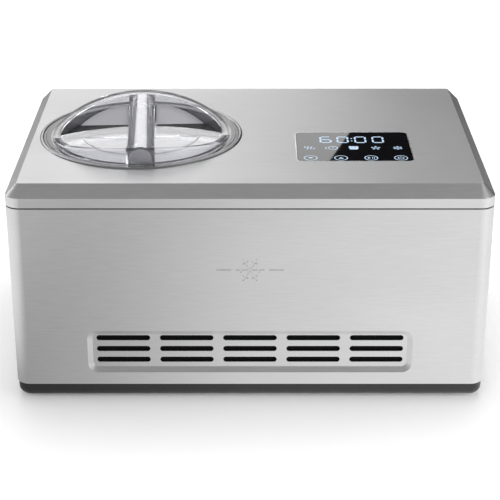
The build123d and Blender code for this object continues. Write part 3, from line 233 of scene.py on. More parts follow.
@dataclass(frozen=True)
class BrushedSteel:
    """Sheet steel with long, fine brushing lines."""

    name: str
    tone: Tone = (0.62, 0.62, 0.625)
    roughness: float = 0.42
    stretch: float = 0.5
    fine: float = 1700.0
    broad: float = 420.0
    run: float = 55.0
    fine_share: float = 0.65
    flank_from: float = 0.75
    smear_scale: Point = (7, 16, 16)
    smear_range: tuple[float, float] = (0.35, 0.7)
    smear_wear: tuple[float, float] = (-0.02, 0.03)
    line_wear: tuple[float, float] = (-0.05, 0.06)
    tones: tuple[float, float] = (0.93, 1.06)
    depth: float = 0.00006
    relief: float = 0.35

    def lines(self, graph: Graph, across: float) -> bpy.types.NodeSocket:
        """Return brushing noise whose lines run level along each face.

        Args:
            graph: The material's graph.
            across: Lines per metre.

        Returns:
            The noise socket.
        """
        where = graph.place()
        facing = graph.add("ShaderNodeNewGeometry").outputs["Normal"]
        sides = graph.add("ShaderNodeSeparateXYZ")
        graph.join(facing, sides.inputs[0])
        sideways = graph.math("GREATER_THAN", graph.math("ABSOLUTE", sides.outputs[0]), self.flank_from)
        front = graph.noise(graph.vector("MULTIPLY", where, (self.run, across, across)), 1.0, 4.0)
        flank = graph.noise(graph.vector("MULTIPLY", where, (across, self.run, across)), 1.0, 4.0)
        both = graph.add("ShaderNodeMix", data_type="FLOAT")
        graph.join(sideways, both.inputs[0])
        graph.join(front, both.inputs[2])
        graph.join(flank, both.inputs[3])
        return both.outputs[0]

    def make(self) -> bpy.types.Material:
        """Build the node tree.

        Returns:
            The material.
        """
        graph = Graph(self.name)
        fine = self.lines(graph, self.fine)
        broad = self.lines(graph, self.broad)
        mixed = graph.math("ADD", graph.math("MULTIPLY", fine, self.fine_share),
                           graph.math("MULTIPLY", broad, 1 - self.fine_share))
        smears = graph.noise(graph.vector("MULTIPLY", graph.place(), self.smear_scale), 1.0, 5.0)
        smooth, dull = (self.roughness + wear for wear in self.smear_wear)
        wiped = graph.spread(smears, smooth, dull, *self.smear_range)
        dark, light = (shade(self.tone, factor) for factor in self.tones)
        shader = graph.surface(
            Base_Color=graph.tint(graph.spread(mixed, 0, 1, *MIDDLE), dark, light),
            Metallic=1.0,
            Roughness=graph.math("ADD", wiped, graph.spread(mixed, *self.line_wear, *MIDDLE)),
            Anisotropic=self.stretch,
        )
        facing = graph.add("ShaderNodeNewGeometry").outputs["Normal"]
        level = graph.vector("ADD", graph.vector("CROSS_PRODUCT", (0, 0, 1), facing), (0.002, 0, 0))
        across = graph.vector("CROSS_PRODUCT", facing, graph.vector("NORMALIZE", level))
        graph.join(across, shader.inputs["Tangent"])
        graph.relief(shader, mixed, self.depth, self.relief)
        return graph.material


@dataclass(frozen=True)
class Metal:
    """Bare metal with turned, cast or drawn marks."""

    name: str
    tone: Tone
    roughness: float
    grain: Grain = Grain.CAST
    middle: Point = (0, 0, 0)
    depth: float = 0.00008
    pits: float = 900.0
    lines: float = 1400.0
    run: float = 30.0
    cloud_scale: float = 35.0
    wear: tuple[float, float] = (-0.06, 0.08)
    tones: tuple[float, float] = (0.88, 1.07)

    def make(self) -> bpy.types.Material:
        """Build the node tree.

        Returns:
            The material.
        """
        graph = Graph(self.name)
        where = graph.vector("SUBTRACT", graph.place(), self.middle)
        if self.grain is Grain.CAST:
            marks = graph.noise(where, self.pits)
        elif self.grain is Grain.LEVEL:
            stretch = (self.run, self.run, self.lines)
            marks = graph.noise(graph.vector("MULTIPLY", where, stretch), 1.0)
        else:
            flat = graph.vector("MULTIPLY", where, (1, 1, 0))
            length = graph.add("ShaderNodeVectorMath", operation="LENGTH")
            graph.join(flat, length.inputs[0])
            height = graph.add("ShaderNodeSeparateXYZ")
            graph.join(where, height.inputs[0])
            rings = graph.add("ShaderNodeCombineXYZ")
            graph.join(graph.math("MULTIPLY", length.outputs["Value"], self.lines), rings.inputs[0])
            graph.join(graph.math("MULTIPLY", height.outputs[2], self.lines), rings.inputs[1])
            marks = graph.noise(rings.outputs[0], 1.0)
        cloud = graph.noise(where, self.cloud_scale, 5.0)
        smooth, dull = (self.roughness + wear for wear in self.wear)
        dark, light = (shade(self.tone, factor) for factor in self.tones)
        shader = graph.surface(
            Base_Color=graph.tint(cloud, dark, light),
            Metallic=1.0,
            Roughness=graph.spread(marks, smooth, dull, *MIDDLE),
        )
        graph.relief(shader, marks, self.depth, 0.4)
        return graph.material


@dataclass(frozen=True)
class Moulded:
    """Moulded plastic or rubber with a fine spark-eroded grain."""

    name: str
    tone: Tone
    roughness: float = 0.5
    grain: float = 1800.0
    depth: float = 0.00012
    cloud_scale: float = 22.0
    handled_scale: float = 140.0
    wear: tuple[float, float] = (-0.07, 0.09)
    tones: tuple[float, float] = (0.86, 1.12)

    def make(self) -> bpy.types.Material:
        """Build the node tree.

        Returns:
            The material.
        """
        graph = Graph(self.name)
        where = graph.place()
        pebbles = graph.add("ShaderNodeTexVoronoi")
        graph.join(where, pebbles.inputs["Vector"])
        pebbles.inputs["Scale"].default_value = self.grain
        cloud = graph.noise(where, self.cloud_scale, 5.0)
        handled = graph.noise(where, self.handled_scale, 4.0)
        smooth, dull = (self.roughness + wear for wear in self.wear)
        dark, light = (shade(self.tone, factor) for factor in self.tones)
        shader = graph.surface(
            Base_Color=graph.tint(cloud, dark, light),
            Roughness=graph.spread(handled, smooth, dull, *MIDDLE),
        )
        graph.relief(shader, pebbles.outputs["Distance"], self.depth, 0.5)
        return graph.material


@dataclass(frozen=True)
class Painted:
    """Stoved paint over pressed steel, with orange peel."""

    name: str
    tone: Tone
    roughness: float = 0.35
    coat: float = 0.3
    peel_scale: float = 420.0
    peel_depth: float = 0.0002
    dust_scale: float = 30.0

    def make(self) -> bpy.types.Material:
        """Build the node tree.

        Returns:
            The material.
        """
        graph = Graph(self.name)
        where = graph.place()
        peel = graph.noise(where, self.peel_scale, 2.0)
        dust = graph.noise(where, self.dust_scale, 6.0)
        shader = graph.surface(
            Base_Color=graph.tint(dust, self.tone, shade(self.tone, 1.6)),
            Roughness=graph.spread(dust, self.roughness, self.roughness + 0.2, *UPPER),
        )
        shader.inputs["Coat Weight"].default_value = self.coat
        graph.relief(shader, peel, self.peel_depth, 0.4)
        return graph.material


@dataclass(frozen=True)
class Clear:
    """Clear moulded plastic."""

    name: str
    tone: Tone = (0.96, 0.96, 0.985)
    index: float = 1.43
    roughness: float = 0.015
    clarity: float = 0.94
    wipe_scale: float = 60.0
    flow_scale: Point = (40, 12, 40)
    flow_depth: float = 0.0004

    def make(self) -> bpy.types.Material:
        """Build the node tree.

        Returns:
            The material.
        """
        graph = Graph(self.name)
        where = graph.place()
        wiped = graph.noise(where, self.wipe_scale, 4.0)
        flow = graph.noise(graph.vector("MULTIPLY", where, self.flow_scale), 1.0, 2.0)
        shader = graph.surface(
            Base_Color=(*self.tone, 1),
            Roughness=graph.spread(wiped, self.roughness, self.roughness + 0.05, *WIPED),
        )
        shader.inputs["Transmission Weight"].default_value = self.clarity
        shader.inputs["IOR"].default_value = self.index
        graph.relief(shader, flow, self.flow_depth, 0.12)
        return graph.material


@dataclass(frozen=True)
class PanelGlass:
    """Black-backed float glass."""

    name: str
    tone: Tone = (0.002, 0.002, 0.003)
    sheen: float = 0.42
    smear_scale: Point = (60, 25, 60)
    smear_depth: float = 0.00002

    def make(self) -> bpy.types.Material:
        """Build the node tree.

        Returns:
            The material.
        """
        graph = Graph(self.name)
        smears = graph.noise(graph.vector("MULTIPLY", graph.place(), self.smear_scale), 1.0, 5.0)
        shader = graph.surface(
            Base_Color=(*self.tone, 1),
            Roughness=graph.spread(smears, 0.01, 0.05, *WIPED),
        )
        shader.inputs["Specular IOR Level"].default_value = self.sheen
        graph.relief(shader, smears, self.smear_depth, 0.05)
        return graph.material


@dataclass(frozen=True)
class Lamp:
    """A printed symbol lit from behind."""

    name: str
    tone: Tone = (0.55, 0.74, 1.0)
    strength: float = 1.0
    mottle_scale: float = 900.0

    def make(self) -> bpy.types.Material:
        """Build the node tree.

        Returns:
            The material.
        """
        graph = Graph(self.name)
        mottle = graph.noise(graph.place(), self.mottle_scale, 2.0)
        shader = graph.surface(
            Base_Color=(*shade(self.tone, 0.5), 1),
            Roughness=0.3,
            Emission_Color=graph.tint(mottle, shade(self.tone, 0.85), shade(self.tone, 1.1)),
        )
        shader.inputs["Emission Strength"].default_value = self.strength
        return graph.material


@dataclass(frozen=True)
class Foam:
    """Rigid poured insulation foam."""

    name: str
    tone: Tone = (0.82, 0.72, 0.48)
    cells: float = 420.0
    cell_depth: float = 0.0008
    skin_scale: float = 28.0
    sheen: float = 0.15

    def make(self) -> bpy.types.Material:
        """Build the node tree.

        Returns:
            The material.
        """
        graph = Graph(self.name)
        where = graph.place()
        cells = graph.add("ShaderNodeTexVoronoi")
        graph.join(where, cells.inputs["Vector"])
        cells.inputs["Scale"].default_value = self.cells
        skin = graph.noise(where, self.skin_scale, 5.0)
        shader = graph.surface(
            Base_Color=graph.tint(skin, shade(self.tone, 0.8), self.tone),
            Roughness=0.85,
        )
        shader.inputs["Specular IOR Level"].default_value = self.sheen
        graph.relief(shader, cells.outputs["Distance"], self.cell_depth, 0.7)
        return graph.material


@dataclass(frozen=True)
class Laminate:
    """Green solder resist over copper tracks."""

    name: str
    tone: Tone = (0.02, 0.16, 0.07)
    track_scale: float = 160.0
    track_width: float = 0.04
    track_depth: float = 0.0001
    coat: float = 0.3

    def make(self) -> bpy.types.Material:
        """Build the node tree.

        Returns:
            The material.
        """
        graph = Graph(self.name)
        where = graph.place()
        tracks = graph.add("ShaderNodeTexBrick")
        graph.join(where, tracks.inputs["Vector"])
        tracks.inputs["Scale"].default_value = self.track_scale
        tracks.inputs["Mortar Size"].default_value = self.track_width
        shader = graph.surface(
            Base_Color=graph.tint(tracks.outputs["Fac"], self.tone, shade(self.tone, 1.9)),
            Roughness=0.38,
        )
        shader.inputs["Coat Weight"].default_value = self.coat
        graph.relief(shader, tracks.outputs["Fac"], self.track_depth, 0.5)
        return graph.material


STEEL = BrushedSteel("brushed_case_steel")
BLACK = Moulded("black_moulding", (0.013, 0.0125, 0.014), 0.4)
SHAFT_AXIS = (-0.102, -0.0044, 0.0)


def dress(finish: object, *nodes: str) -> None:
    """Give CAD nodes a finish.

    Args:
        finish: A finish with a make method, or a ready material.
        nodes: The nodes that take it.
    """
    material = finish if isinstance(finish, bpy.types.Material) else finish.make()
    for node in nodes:
        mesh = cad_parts[node].data
        mesh.materials.clear()
        mesh.materials.append(material)


def placed(name: str, data: bpy.types.ID) -> bpy.types.Object:
    """Put a new object into the scene.

    Args:
        name: The object's name.
        data: Its mesh, light or camera.

    Returns:
        The new object.
    """
    made = bpy.data.objects.new(name, data)
    bpy.context.scene.collection.objects.link(made)
    return made


def settled(name: str, working: bmesh.types.BMesh) -> bpy.types.Mesh:
    """Turn a working mesh into a finished one.

    Args:
        name: The finished mesh's name.
        working: The working mesh, which is freed.

    Returns:
        The finished mesh.
    """
    made = bpy.data.meshes.new(name)
    working.to_mesh(made)
    working.free()
    return made


def piece_from(name: str, mesh: bpy.types.Mesh, material: bpy.types.Material,
               body: str) -> bpy.types.Object:
    """Make a piece that rides on a body.

    Args:
        name: The piece's name.
        mesh: Its mesh, in the row frame.
        material: Its material.
        body: The body that it rides on.

    Returns:
        The new object.
    """
    piece = placed(name, mesh)
    mesh.materials.append(material)
    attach(piece, body)
    log.info("%s: %d faces", name, len(mesh.polygons))
    return piece


def around(middle: tuple[float, float], reach: float, angle: float) -> tuple[float, float]:
    """Return the point at a distance and an angle from a centre.

    Args:
        middle: The centre.
        reach: The distance.
        angle: The angle in radians.

    Returns:
        The point.
    """
    return middle[0] + reach * math.cos(angle), middle[1] + reach * math.sin(angle)


class Plotter:
    """Collects flat strokes and shapes on a level surface and raises them into one thin mesh."""

    def __init__(self, height: float, thick: float) -> None:
        """Start an empty mesh.

        Args:
            height: Height of the surface that the shapes lie on.
            thick: How far they stand off it.
        """
        self.mesh = bmesh.new()
        self.height = height
        self.thick = thick

    def shape(self, outline: list[tuple[float, float]]) -> None:
        """Add a closed outline as a thin solid.

        Args:
            outline: Its corners, counter-clockwise.
        """
        low = [self.mesh.verts.new((x, y, self.height)) for x, y in outline]
        high = [self.mesh.verts.new((x, y, self.height + self.thick)) for x, y in outline]
        self.mesh.faces.new(high)
        self.mesh.faces.new(list(reversed(low)))
        for index in range(len(outline)):
            after = (index + 1) % len(outline)
            self.mesh.faces.new((low[index], low[after], high[after], high[index]))

    def stroke(self, start: tuple[float, float], end: tuple[float, float], width: float) -> None:
        """Add a straight stroke with pointed ends.

        Args:
            start: One end.
            end: The other end.
            width: Its width.
        """
        along = Vector((end[0] - start[0], end[1] - start[1])).normalized()
        side = Vector((-along.y, along.x)) * width / 2
        tip = along * width / 2
        begin, stop = Vector(start), Vector(end)
        corners = (begin, begin + tip - side, stop - tip - side,
                   stop, stop - tip + side, begin + tip + side)
        self.shape([tuple(corner) for corner in corners])

    def ring(self, middle: tuple[float, float], radius: float, width: float,
             start: float = 0.0, turn: float = 360.0, steps: int = 40) -> None:
        """Add a ring or a part of one as a chain of thin solids.

        Args:
            middle: Its centre.
            radius: Its outer radius.
            width: Its width.
            start: The first angle in degrees.
            turn: How far it goes round.
            steps: Its number of segments.
        """
        gap = 0.02 * math.radians(turn) / steps
        for index in range(steps):
            first = math.radians(start + turn * index / steps) + gap
            last = math.radians(start + turn * (index + 1) / steps) - gap
            inner = radius - width
            self.shape([around(middle, inner, first), around(middle, radius, first),
                        around(middle, radius, last), around(middle, inner, last)])

    def disc(self, middle: tuple[float, float], radius: float, steps: int = 24) -> None:
        """Add a filled disc."""
        self.shape([around(middle, radius, 2 * math.pi * step / steps) for step in range(steps)])

    def finish(self, name: str) -> bpy.types.Mesh:
        """Return the collected mesh."""
        return settled(name, self.mesh)


SEGMENTS = {"0": "abcdef", "6": "acdefg"}


@dataclass
class TouchPanel:
    """The touch glass with its lit digits, symbols and keys."""

    body: str = "housing"
    digit_width: float = 9.4 * MM
    digit_height: float = 15.2 * MM
    stroke: float = 1.7 * MM
    digit_row: float = -22.4 * MM
    digit_places: tuple[float, ...] = (70.1 * MM, 85.9 * MM, 102.3 * MM, 118.6 * MM)
    colon: float = 94.3 * MM
    icon_row: float = -44.3 * MM
    icon_places: tuple[float, ...] = (54.4 * MM, 75 * MM, 95 * MM, 115.2 * MM, 135.4 * MM)
    key_row: float = -70.4 * MM
    key_places: tuple[float, ...] = (54.6 * MM, 82 * MM, 109.2 * MM, 136 * MM)
    key_radius: float = 6.2 * MM
    line: float = 0.85 * MM
    proud: float = 0.06 * MM
    lip_width: float = 0.7 * MM
    lip_drop: float = 0.18 * MM
    lip_rise: float = 0.12 * MM
    lip_bend: float = 5.2 * MM
    clock_glow: float = 0.55
    symbol_glow: float = 0.42
    symbol_tone: Tone = (0.6, 0.78, 1.0)
    print_gap: float = 0.01 * MM
    digit_inset: float = 0.28
    colon_reach: float = 0.42
    icon_reach: float = 4.6 * MM
    arm_start: float = 0.12
    barb_at: float = 0.55
    barb_length: float = 0.4
    barb_turn: float = 0.75

    def digits(self, plot: Plotter) -> None:
        """Draw the clock's seven-segment digits and its colon.

        Args:
            plot: The plotter.
        """
        wide, tall = self.digit_width / 2, self.digit_height / 2
        inset = self.stroke * self.digit_inset
        bars = {
            "a": ((-wide, tall), (wide, tall)), "g": ((-wide, 0), (wide, 0)),
            "d": ((-wide, -tall), (wide, -tall)), "f": ((-wide, 0), (-wide, tall)),
            "b": ((wide, 0), (wide, tall)), "e": ((-wide, -tall), (-wide, 0)),
            "c": ((wide, -tall), (wide, 0)),
        }
        for digit, x in zip("6000", self.digit_places):
            for bar in SEGMENTS[digit]:
                start, end = (Vector(corner) for corner in bars[bar])
                pull = (end - start).normalized() * inset
                middle = Vector((x, self.digit_row))
                plot.stroke(tuple(middle + start + pull), tuple(middle + end - pull), self.stroke)
        for y in (-self.colon_reach, self.colon_reach):
            plot.disc((self.colon, self.digit_row + y * tall), self.stroke * 0.5)

    def star(self, plot: Plotter, x: float, y: float, arms: int, reach: float) -> None:
        """Draw a frost star with short barbs.

        Args:
            plot: The plotter.
            x: Its centre.
            y: Its centre.
            arms: Number of arms.
            reach: Length of an arm.
        """
        for arm in range(arms):
            angle = 2 * math.pi * arm / arms + math.pi / 2
            ray = Vector((math.cos(angle), math.sin(angle)))
            middle = Vector((x, y))
            plot.stroke(tuple(middle + ray * reach * self.arm_start),
                        tuple(middle + ray * reach), self.line)
            for side in (-1, 1):
                barb = Matrix.Rotation(side * self.barb_turn, 2) @ ray
                fork = middle + ray * reach * self.barb_at
                plot.stroke(tuple(fork), tuple(fork + barb * reach * self.barb_length),
                            self.line * 0.8)

    def icons(self, plot: Plotter) -> None:
        """Draw the row of mode symbols: waves, a dial, a tub, and two frost stars.

        Args:
            plot: The plotter.
        """
        reach = self.icon_reach
        y = self.icon_row
        for step in (-1, 0, 1):
            x = self.icon_places[0] + step * 3 * MM
            plot.ring((x, y + 1.8 * MM), 2 * MM, self.line, 90, 170, 10)
            plot.ring((x, y - 1.6 * MM), 2 * MM, self.line, 270, 170, 10)
        dial, hand = self.icon_places[1] + MM, self.icon_places[1] - 5.5 * MM
        plot.ring((dial, y), reach, self.line, 0, 360, 28)
        plot.stroke((dial, y), (dial, y + 3 * MM), self.line)
        plot.stroke((hand, y + 2 * MM), (hand, y - 3 * MM), self.line * 1.2)
        tub = self.icon_places[2]
        plot.shape([(tub - 3.4 * MM, y - 4 * MM), (tub + 3.4 * MM, y - 4 * MM),
                    (tub + 4.6 * MM, y + MM), (tub - 4.6 * MM, y + MM)])
        for step in (-1, 0, 1):
            plot.disc((tub + step * 2.8 * MM, y + 2.8 * MM), 1.7 * MM, 16)
        self.star(plot, self.icon_places[3], y, 5, reach)
        self.star(plot, self.icon_places[4], y, 6, reach)

    def keys(self, plot: Plotter) -> None:
        """Draw the four ringed touch keys: down, up, start and stop, power.

        Args:
            plot: The plotter.
        """
        y = self.key_row
        for x in self.key_places:
            plot.ring((x, y), self.key_radius, self.line)
        down, up, play, power = self.key_places
        half, high = 2.6 * MM, 1.7 * MM
        plot.shape([(down - half, y + high), (down, y - high), (down + half, y + high)])
        plot.shape([(up - half, y - high), (up + half, y - high), (up, y + high)])
        plot.shape([(play - 3 * MM, y - 2 * MM), (play - 0.2 * MM, y), (play - 3 * MM, y + 2 * MM)])
        for step in (1.2, 2.8):
            plot.stroke((play + step * MM, y - 2 * MM), (play + step * MM, y + 2 * MM), self.line * 0.8)
        plot.ring((power, y), 3 * MM, self.line * 0.9, 115, 310, 20)
        plot.stroke((power, y + 0.5 * MM), (power, y + 3.6 * MM), self.line * 0.9)

    def lip(self, low: Vector, high: Vector) -> None:
        """Run a thin bright lip around the glass.

        Args:
            low: The glass's lower corner.
            high: Its upper corner.
        """
        plot = Plotter(high.z - self.lip_drop, self.lip_rise)
        away = self.lip_width / 2
        left, right = low.x - away, high.x + away
        front, back = low.y - away, high.y + away
        bend = self.lip_bend
        for y in (front, back):
            plot.stroke((left + bend, y), (right - bend, y), self.lip_width)
        for x in (left, right):
            plot.stroke((x, front + bend), (x, back - bend), self.lip_width)
        for x, y, start in ((right - bend, back - bend, 0), (left + bend, back - bend, 90),
                            (left + bend, front + bend, 180), (right - bend, front + bend, 270)):
            plot.ring((x, y), bend + away, self.lip_width, start, 90, 8)
        bright = Metal("lip_steel", (0.8, 0.8, 0.8), 0.25, Grain.LEVEL)
        piece_from("window_lip", plot.finish("window_lip"), bright.make(), self.body)

    def build(self) -> None:
        """Make the lit pieces and finish the glass and its module."""
        low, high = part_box("display_glass")
        self.lip(low, high)
        lit = Lamp("clock_light", strength=self.clock_glow).make()
        soft = Lamp("symbol_light", self.symbol_tone, self.symbol_glow).make()
        for name, draw, material in (("clock_digits", self.digits, lit),
                                     ("mode_symbols", self.icons, soft),
                                     ("touch_keys", self.keys, soft)):
            plot = Plotter(high.z + self.print_gap, self.proud)
            draw(plot)
            piece_from(name, plot.finish(name), material, self.body)
        dress(PanelGlass("panel_glass"), "display_glass")
        dress(BLACK, "display_module")
        dress(Laminate("display_laminate"), "display_board")


@dataclass
class Case:
    """The steel wrap and cover, the tray and feet, and the rear panel."""

    pad_half: float = 144 * MM
    pad_floor: float = 30 * MM
    pad_top: float = 70 * MM
    pad_front: float = -137.4 * MM
    pad_depth: float = 4 * MM
    pad_round: float = 1.2 * MM

    def filter_pad(self) -> None:
        """Fit the dark foam dust filter behind the air slots."""
        mesh = bmesh.new()
        bmesh.ops.create_cube(mesh, size=1.0)
        size = Vector((2 * self.pad_half, self.pad_depth, self.pad_top - self.pad_floor))
        middle = Vector((0, self.pad_front + self.pad_depth / 2, (self.pad_top + self.pad_floor) / 2))
        for corner in mesh.verts:
            corner.co = Vector(a * b for a, b in zip(corner.co, size)) + middle
        bmesh.ops.bevel(mesh, geom=mesh.edges[:], offset=self.pad_round, segments=3, affect="EDGES")
        foam = Foam("filter_foam", (0.0025, 0.0025, 0.003), 700.0)
        piece_from("filter_pad", settled("filter_pad", mesh), foam.make(), "housing")

    def build(self) -> None:
        """Finish the case and fit its filter pad."""
        dress(STEEL, "outer_shell", "top_cover")
        dress(Metal("rolled_lip", (0.3, 0.3, 0.305), 0.24, Grain.TURNED, SHAFT_AXIS), "opening_trim")
        dress(BLACK, "base_tray", "rear_panel", "rocker_bezel", "rocker_key", "mains_inlet")
        dress(Moulded("foam_rubber", (0.012, 0.012, 0.013), 0.75, 1100.0), "seam_gasket", "feet")
        dress(Metal("bright_zinc", (0.6, 0.6, 0.58), 0.3), "rear_screws", "board_posts")
        self.filter_pad()


@dataclass
class Opening:
    """The collar, the clear lid, the bowl with its bail, the paddle and the well."""

    core_radius: float = 9.4 * MM
    core_half: float = 72 * MM
    core_middle: float = 211.0 * MM
    core_skirt: float = 7 * MM
    core_round: float = 0.4 * MM
    core_steps: int = 16
    lid_turn: float = 3.0
    pocket_radius: float = 75.2 * MM
    pocket_floor: float = 200.6 * MM
    pocket_inner: float = 13.6 * MM
    # Far end of the black sheet of painted shade on each pocket floor.
    shade_sheet_outer: float = 73 * MM
    liner_outer: float = 59 * MM
    crease: float = 45.5 * MM
    shelf_bulge: float = 21.5 * MM
    shelf_curve: float = 135.5 * MM
    liner: float = 0.9 * MM
    liner_slope: float = 0.42
    liner_rise: float = 11 * MM
    liner_edge: float = 0.1 * MM
    liner_steps: int = 14

    def on_lid(self, x: float, y: float, z: float) -> Vector:
        """Turn and move a point from the lid's own directions into place.

        Args:
            x: Its distance across the bar.
            y: Its distance along the bar.
            z: Its height.

        Returns:
            The point in the row frame.
        """
        turn = Matrix.Rotation(math.radians(self.lid_turn), 4, "Z")
        return Matrix.Translation(SHAFT_AXIS) @ turn @ Vector((x, y, z))

    def painted_shade_strip(self, x: float) -> tuple[Vector, Vector]:
        """Find the edges of the black sheet of painted shade on the pocket floor.

        Args:
            x: The distance from the bar's middle.

        Returns:
            The sheet's front and back there.
        """
        top = self.pocket_floor + self.liner
        bow = self.shelf_bulge - x * x / (2 * self.shelf_curve)
        wall = math.sqrt(self.pocket_radius ** 2 - x * x)
        return Vector((x, bow, top)), Vector((x, min(self.crease, wall), top))

    def liner_strip(self, x: float) -> tuple[Vector, Vector]:
        """Find the edges of the sloped liner.

        Args:
            x: The distance from the bar's middle.

        Returns:
            The liner's front and back there.
        """
        wall = math.sqrt(self.pocket_radius ** 2 - x * x)
        rise = min(self.liner_rise, (wall - self.crease) * self.liner_slope)
        top = self.pocket_floor + self.liner
        return Vector((x, self.crease, top)), Vector((x, wall, top + rise))

    def pocket_sheet(self, name: str, strip: Callable[[float], tuple[Vector, Vector]],
                     outer: float, finish: object) -> None:
        """Lay a thin sheet into both finger pockets.

        Args:
            name: The piece's name.
            strip: Gives its front and back at a distance from the bar's middle.
            outer: Its far end's distance from the bar's middle.
            finish: Its finish.
        """
        mesh = bmesh.new()
        steps = self.liner_steps
        drop = Vector((0, 0, self.liner - self.liner_edge))
        for side in (-1, 1):
            rows = []
            for step in range(steps + 1):
                x = self.pocket_inner + (outer - self.pocket_inner) * step / steps
                front, back = strip(side * x)
                rows.append([mesh.verts.new(self.on_lid(*corner))
                             for corner in (front, back, back - drop, front - drop)])
            for near, far in zip(rows, rows[1:]):
                for index in range(len(near)):
                    after = (index + 1) % len(near)
                    mesh.faces.new((near[index], near[after], far[after], far[index]))
            mesh.faces.new(rows[0])
            mesh.faces.new(list(reversed(rows[-1])))
        bmesh.ops.recalc_face_normals(mesh, faces=mesh.faces[:])
        piece_from(name, settled(name, mesh), finish.make(), "lid")

    def pocket_lining(self) -> None:
        """Line both finger pockets with a black sheet of painted shade on the floor and a frosted slope
        behind it.
        """
        # A near-black sheet of painted shade, laid on the pocket floor between the shelf edge and the
        # crease where the back wall's shadow falls.
        shade_finish = Moulded("painted_shade_black", (0.006, 0.006, 0.007), 0.6)
        self.pocket_sheet("painted_shade_pads", self.painted_shade_strip, self.shade_sheet_outer, shade_finish)
        frosted = Clear("frosted_liner", (0.5, 0.5, 0.53), 1.4, 0.3, 0.35)
        self.pocket_sheet("pocket_liners", self.liner_strip, self.liner_outer, frosted)

    def bar_core(self) -> None:
        """Fit the milky stiffener inside the lid's hollow bar."""
        steps = self.core_steps
        outline = [(self.core_radius, -self.core_skirt)]
        outline += [around((0, 0), self.core_radius, math.pi * step / steps)
                    for step in range(steps + 1)]
        outline.append((-self.core_radius, -self.core_skirt))
        mesh = bmesh.new()
        near, far = ([mesh.verts.new((x, side * self.core_half, z)) for x, z in outline]
                     for side in (-1, 1))
        mesh.faces.new(near)
        mesh.faces.new(list(reversed(far)))
        for index in range(len(outline)):
            after = (index + 1) % len(outline)
            mesh.faces.new((near[after], near[index], far[index], far[after]))
        bmesh.ops.bevel(mesh, geom=mesh.edges[:], offset=self.core_round, segments=1, affect="EDGES")
        bmesh.ops.recalc_face_normals(mesh, faces=mesh.faces[:])
        for corner in mesh.verts:
            corner.co = self.on_lid(corner.co.x, corner.co.y, corner.co.z + self.core_middle)
        milky = Clear("milky_core", (0.95, 0.95, 0.97), 1.3, 0.25, 0.55)
        piece_from("bar_core", settled("bar_core", mesh), milky.make(), "lid")

    def build(self) -> None:
        """Finish every piece of the opening."""
        dress(Moulded("collar_moulding", (0.2, 0.2, 0.205), 0.35), "well_collar")
        dress(Clear("clear_lid"), "lid")
        self.bar_core()
        self.pocket_lining()
        dress(Metal("bowl_aluminium", (0.78, 0.79, 0.8), 0.28, Grain.TURNED, SHAFT_AXIS), "bowl")
        dress(Metal("well_aluminium", (0.7, 0.71, 0.72), 0.38, Grain.TURNED, SHAFT_AXIS), "chilled_well")
        dress(Metal("bail_wire", (0.72, 0.72, 0.72), 0.18), "bail")
        dress(BLACK, "bail_grip")
        dress(Moulded("paddle_moulding", (0.72, 0.72, 0.7), 0.35, 1500.0, 0.00006), "paddle")
        dress(Foam("jacket_foam"), "foam_jacket")


@dataclass
class Drive:
    """The gear train and the stirrer motor."""

    def build(self) -> None:
        """Finish every piece of the drive."""
        gear = Moulded("gear_moulding", (0.78, 0.76, 0.7), 0.4, 1400.0, 0.00006)
        dress(gear, "output_gear", "idler_gear")
        dress(Moulded("box_moulding", (0.2, 0.21, 0.22), 0.5), "gearbox_housing", "gearbox_cover")
        dress(Metal("motor_zinc", (0.62, 0.61, 0.56), 0.32, Grain.LEVEL), "motor_can", "motor_rotor")
        dress(Metal("shaft_steel", (0.7, 0.7, 0.7), 0.22, Grain.TURNED, SHAFT_AXIS), "drive_shaft")
        dress(Metal("screw_zinc", (0.6, 0.59, 0.52), 0.35), "gearbox_screws")


@dataclass
class Cooling:
    """The compressor, condenser, fan and piping."""

    def build(self) -> None:
        """Finish every piece of the cooling circuit."""
        copper = Metal("drawn_copper", (0.8, 0.42, 0.28), 0.28)
        dress(copper, "evaporator_coil", "condenser_tube", "filter_drier", "discharge_pipe",
              "suction_pipe", "liquid_pipe", "capillary_tube")
        dress(Painted("compressor_paint", (0.012, 0.012, 0.013)), "compressor_can")
        dress(Metal("base_zinc", (0.6, 0.6, 0.56), 0.4), "compressor_base", "compressor_bolts")
        dress(Moulded("grommet_rubber", (0.015, 0.015, 0.015), 0.8, 900.0), "compressor_grommets")
        dress(Metal("fin_aluminium", (0.75, 0.76, 0.77), 0.35, Grain.LEVEL), "condenser_fins")
        dress(Moulded("fan_moulding", (0.03, 0.03, 0.032), 0.45), "fan_frame", "fan_rotor")
        dress(Laminate("power_laminate"), "power_board")


@dataclass(frozen=True)
class SoftBox:
    """A soft rectangular light that hangs at a place and faces a point."""

    name: str
    place: Point
    aim: Point
    size: tuple[float, float]
    radiance: float
    shines: bool = True

    def hang(self) -> None:
        """Put the light into the scene."""
        data = bpy.data.lights.new(self.name, "AREA")
        data.shape = "RECTANGLE"
        data.size, data.size_y = self.size
        data.energy = 4 * self.size[0] * self.size[1] * self.radiance
        light = placed(self.name, data)
        facing = (Vector(self.place) - Vector(self.aim)).to_track_quat("Z", "Y").to_matrix().to_4x4()
        light.matrix_world = Matrix.Translation(self.place) @ facing
        light.visible_camera = False
        light.visible_glossy = self.shines


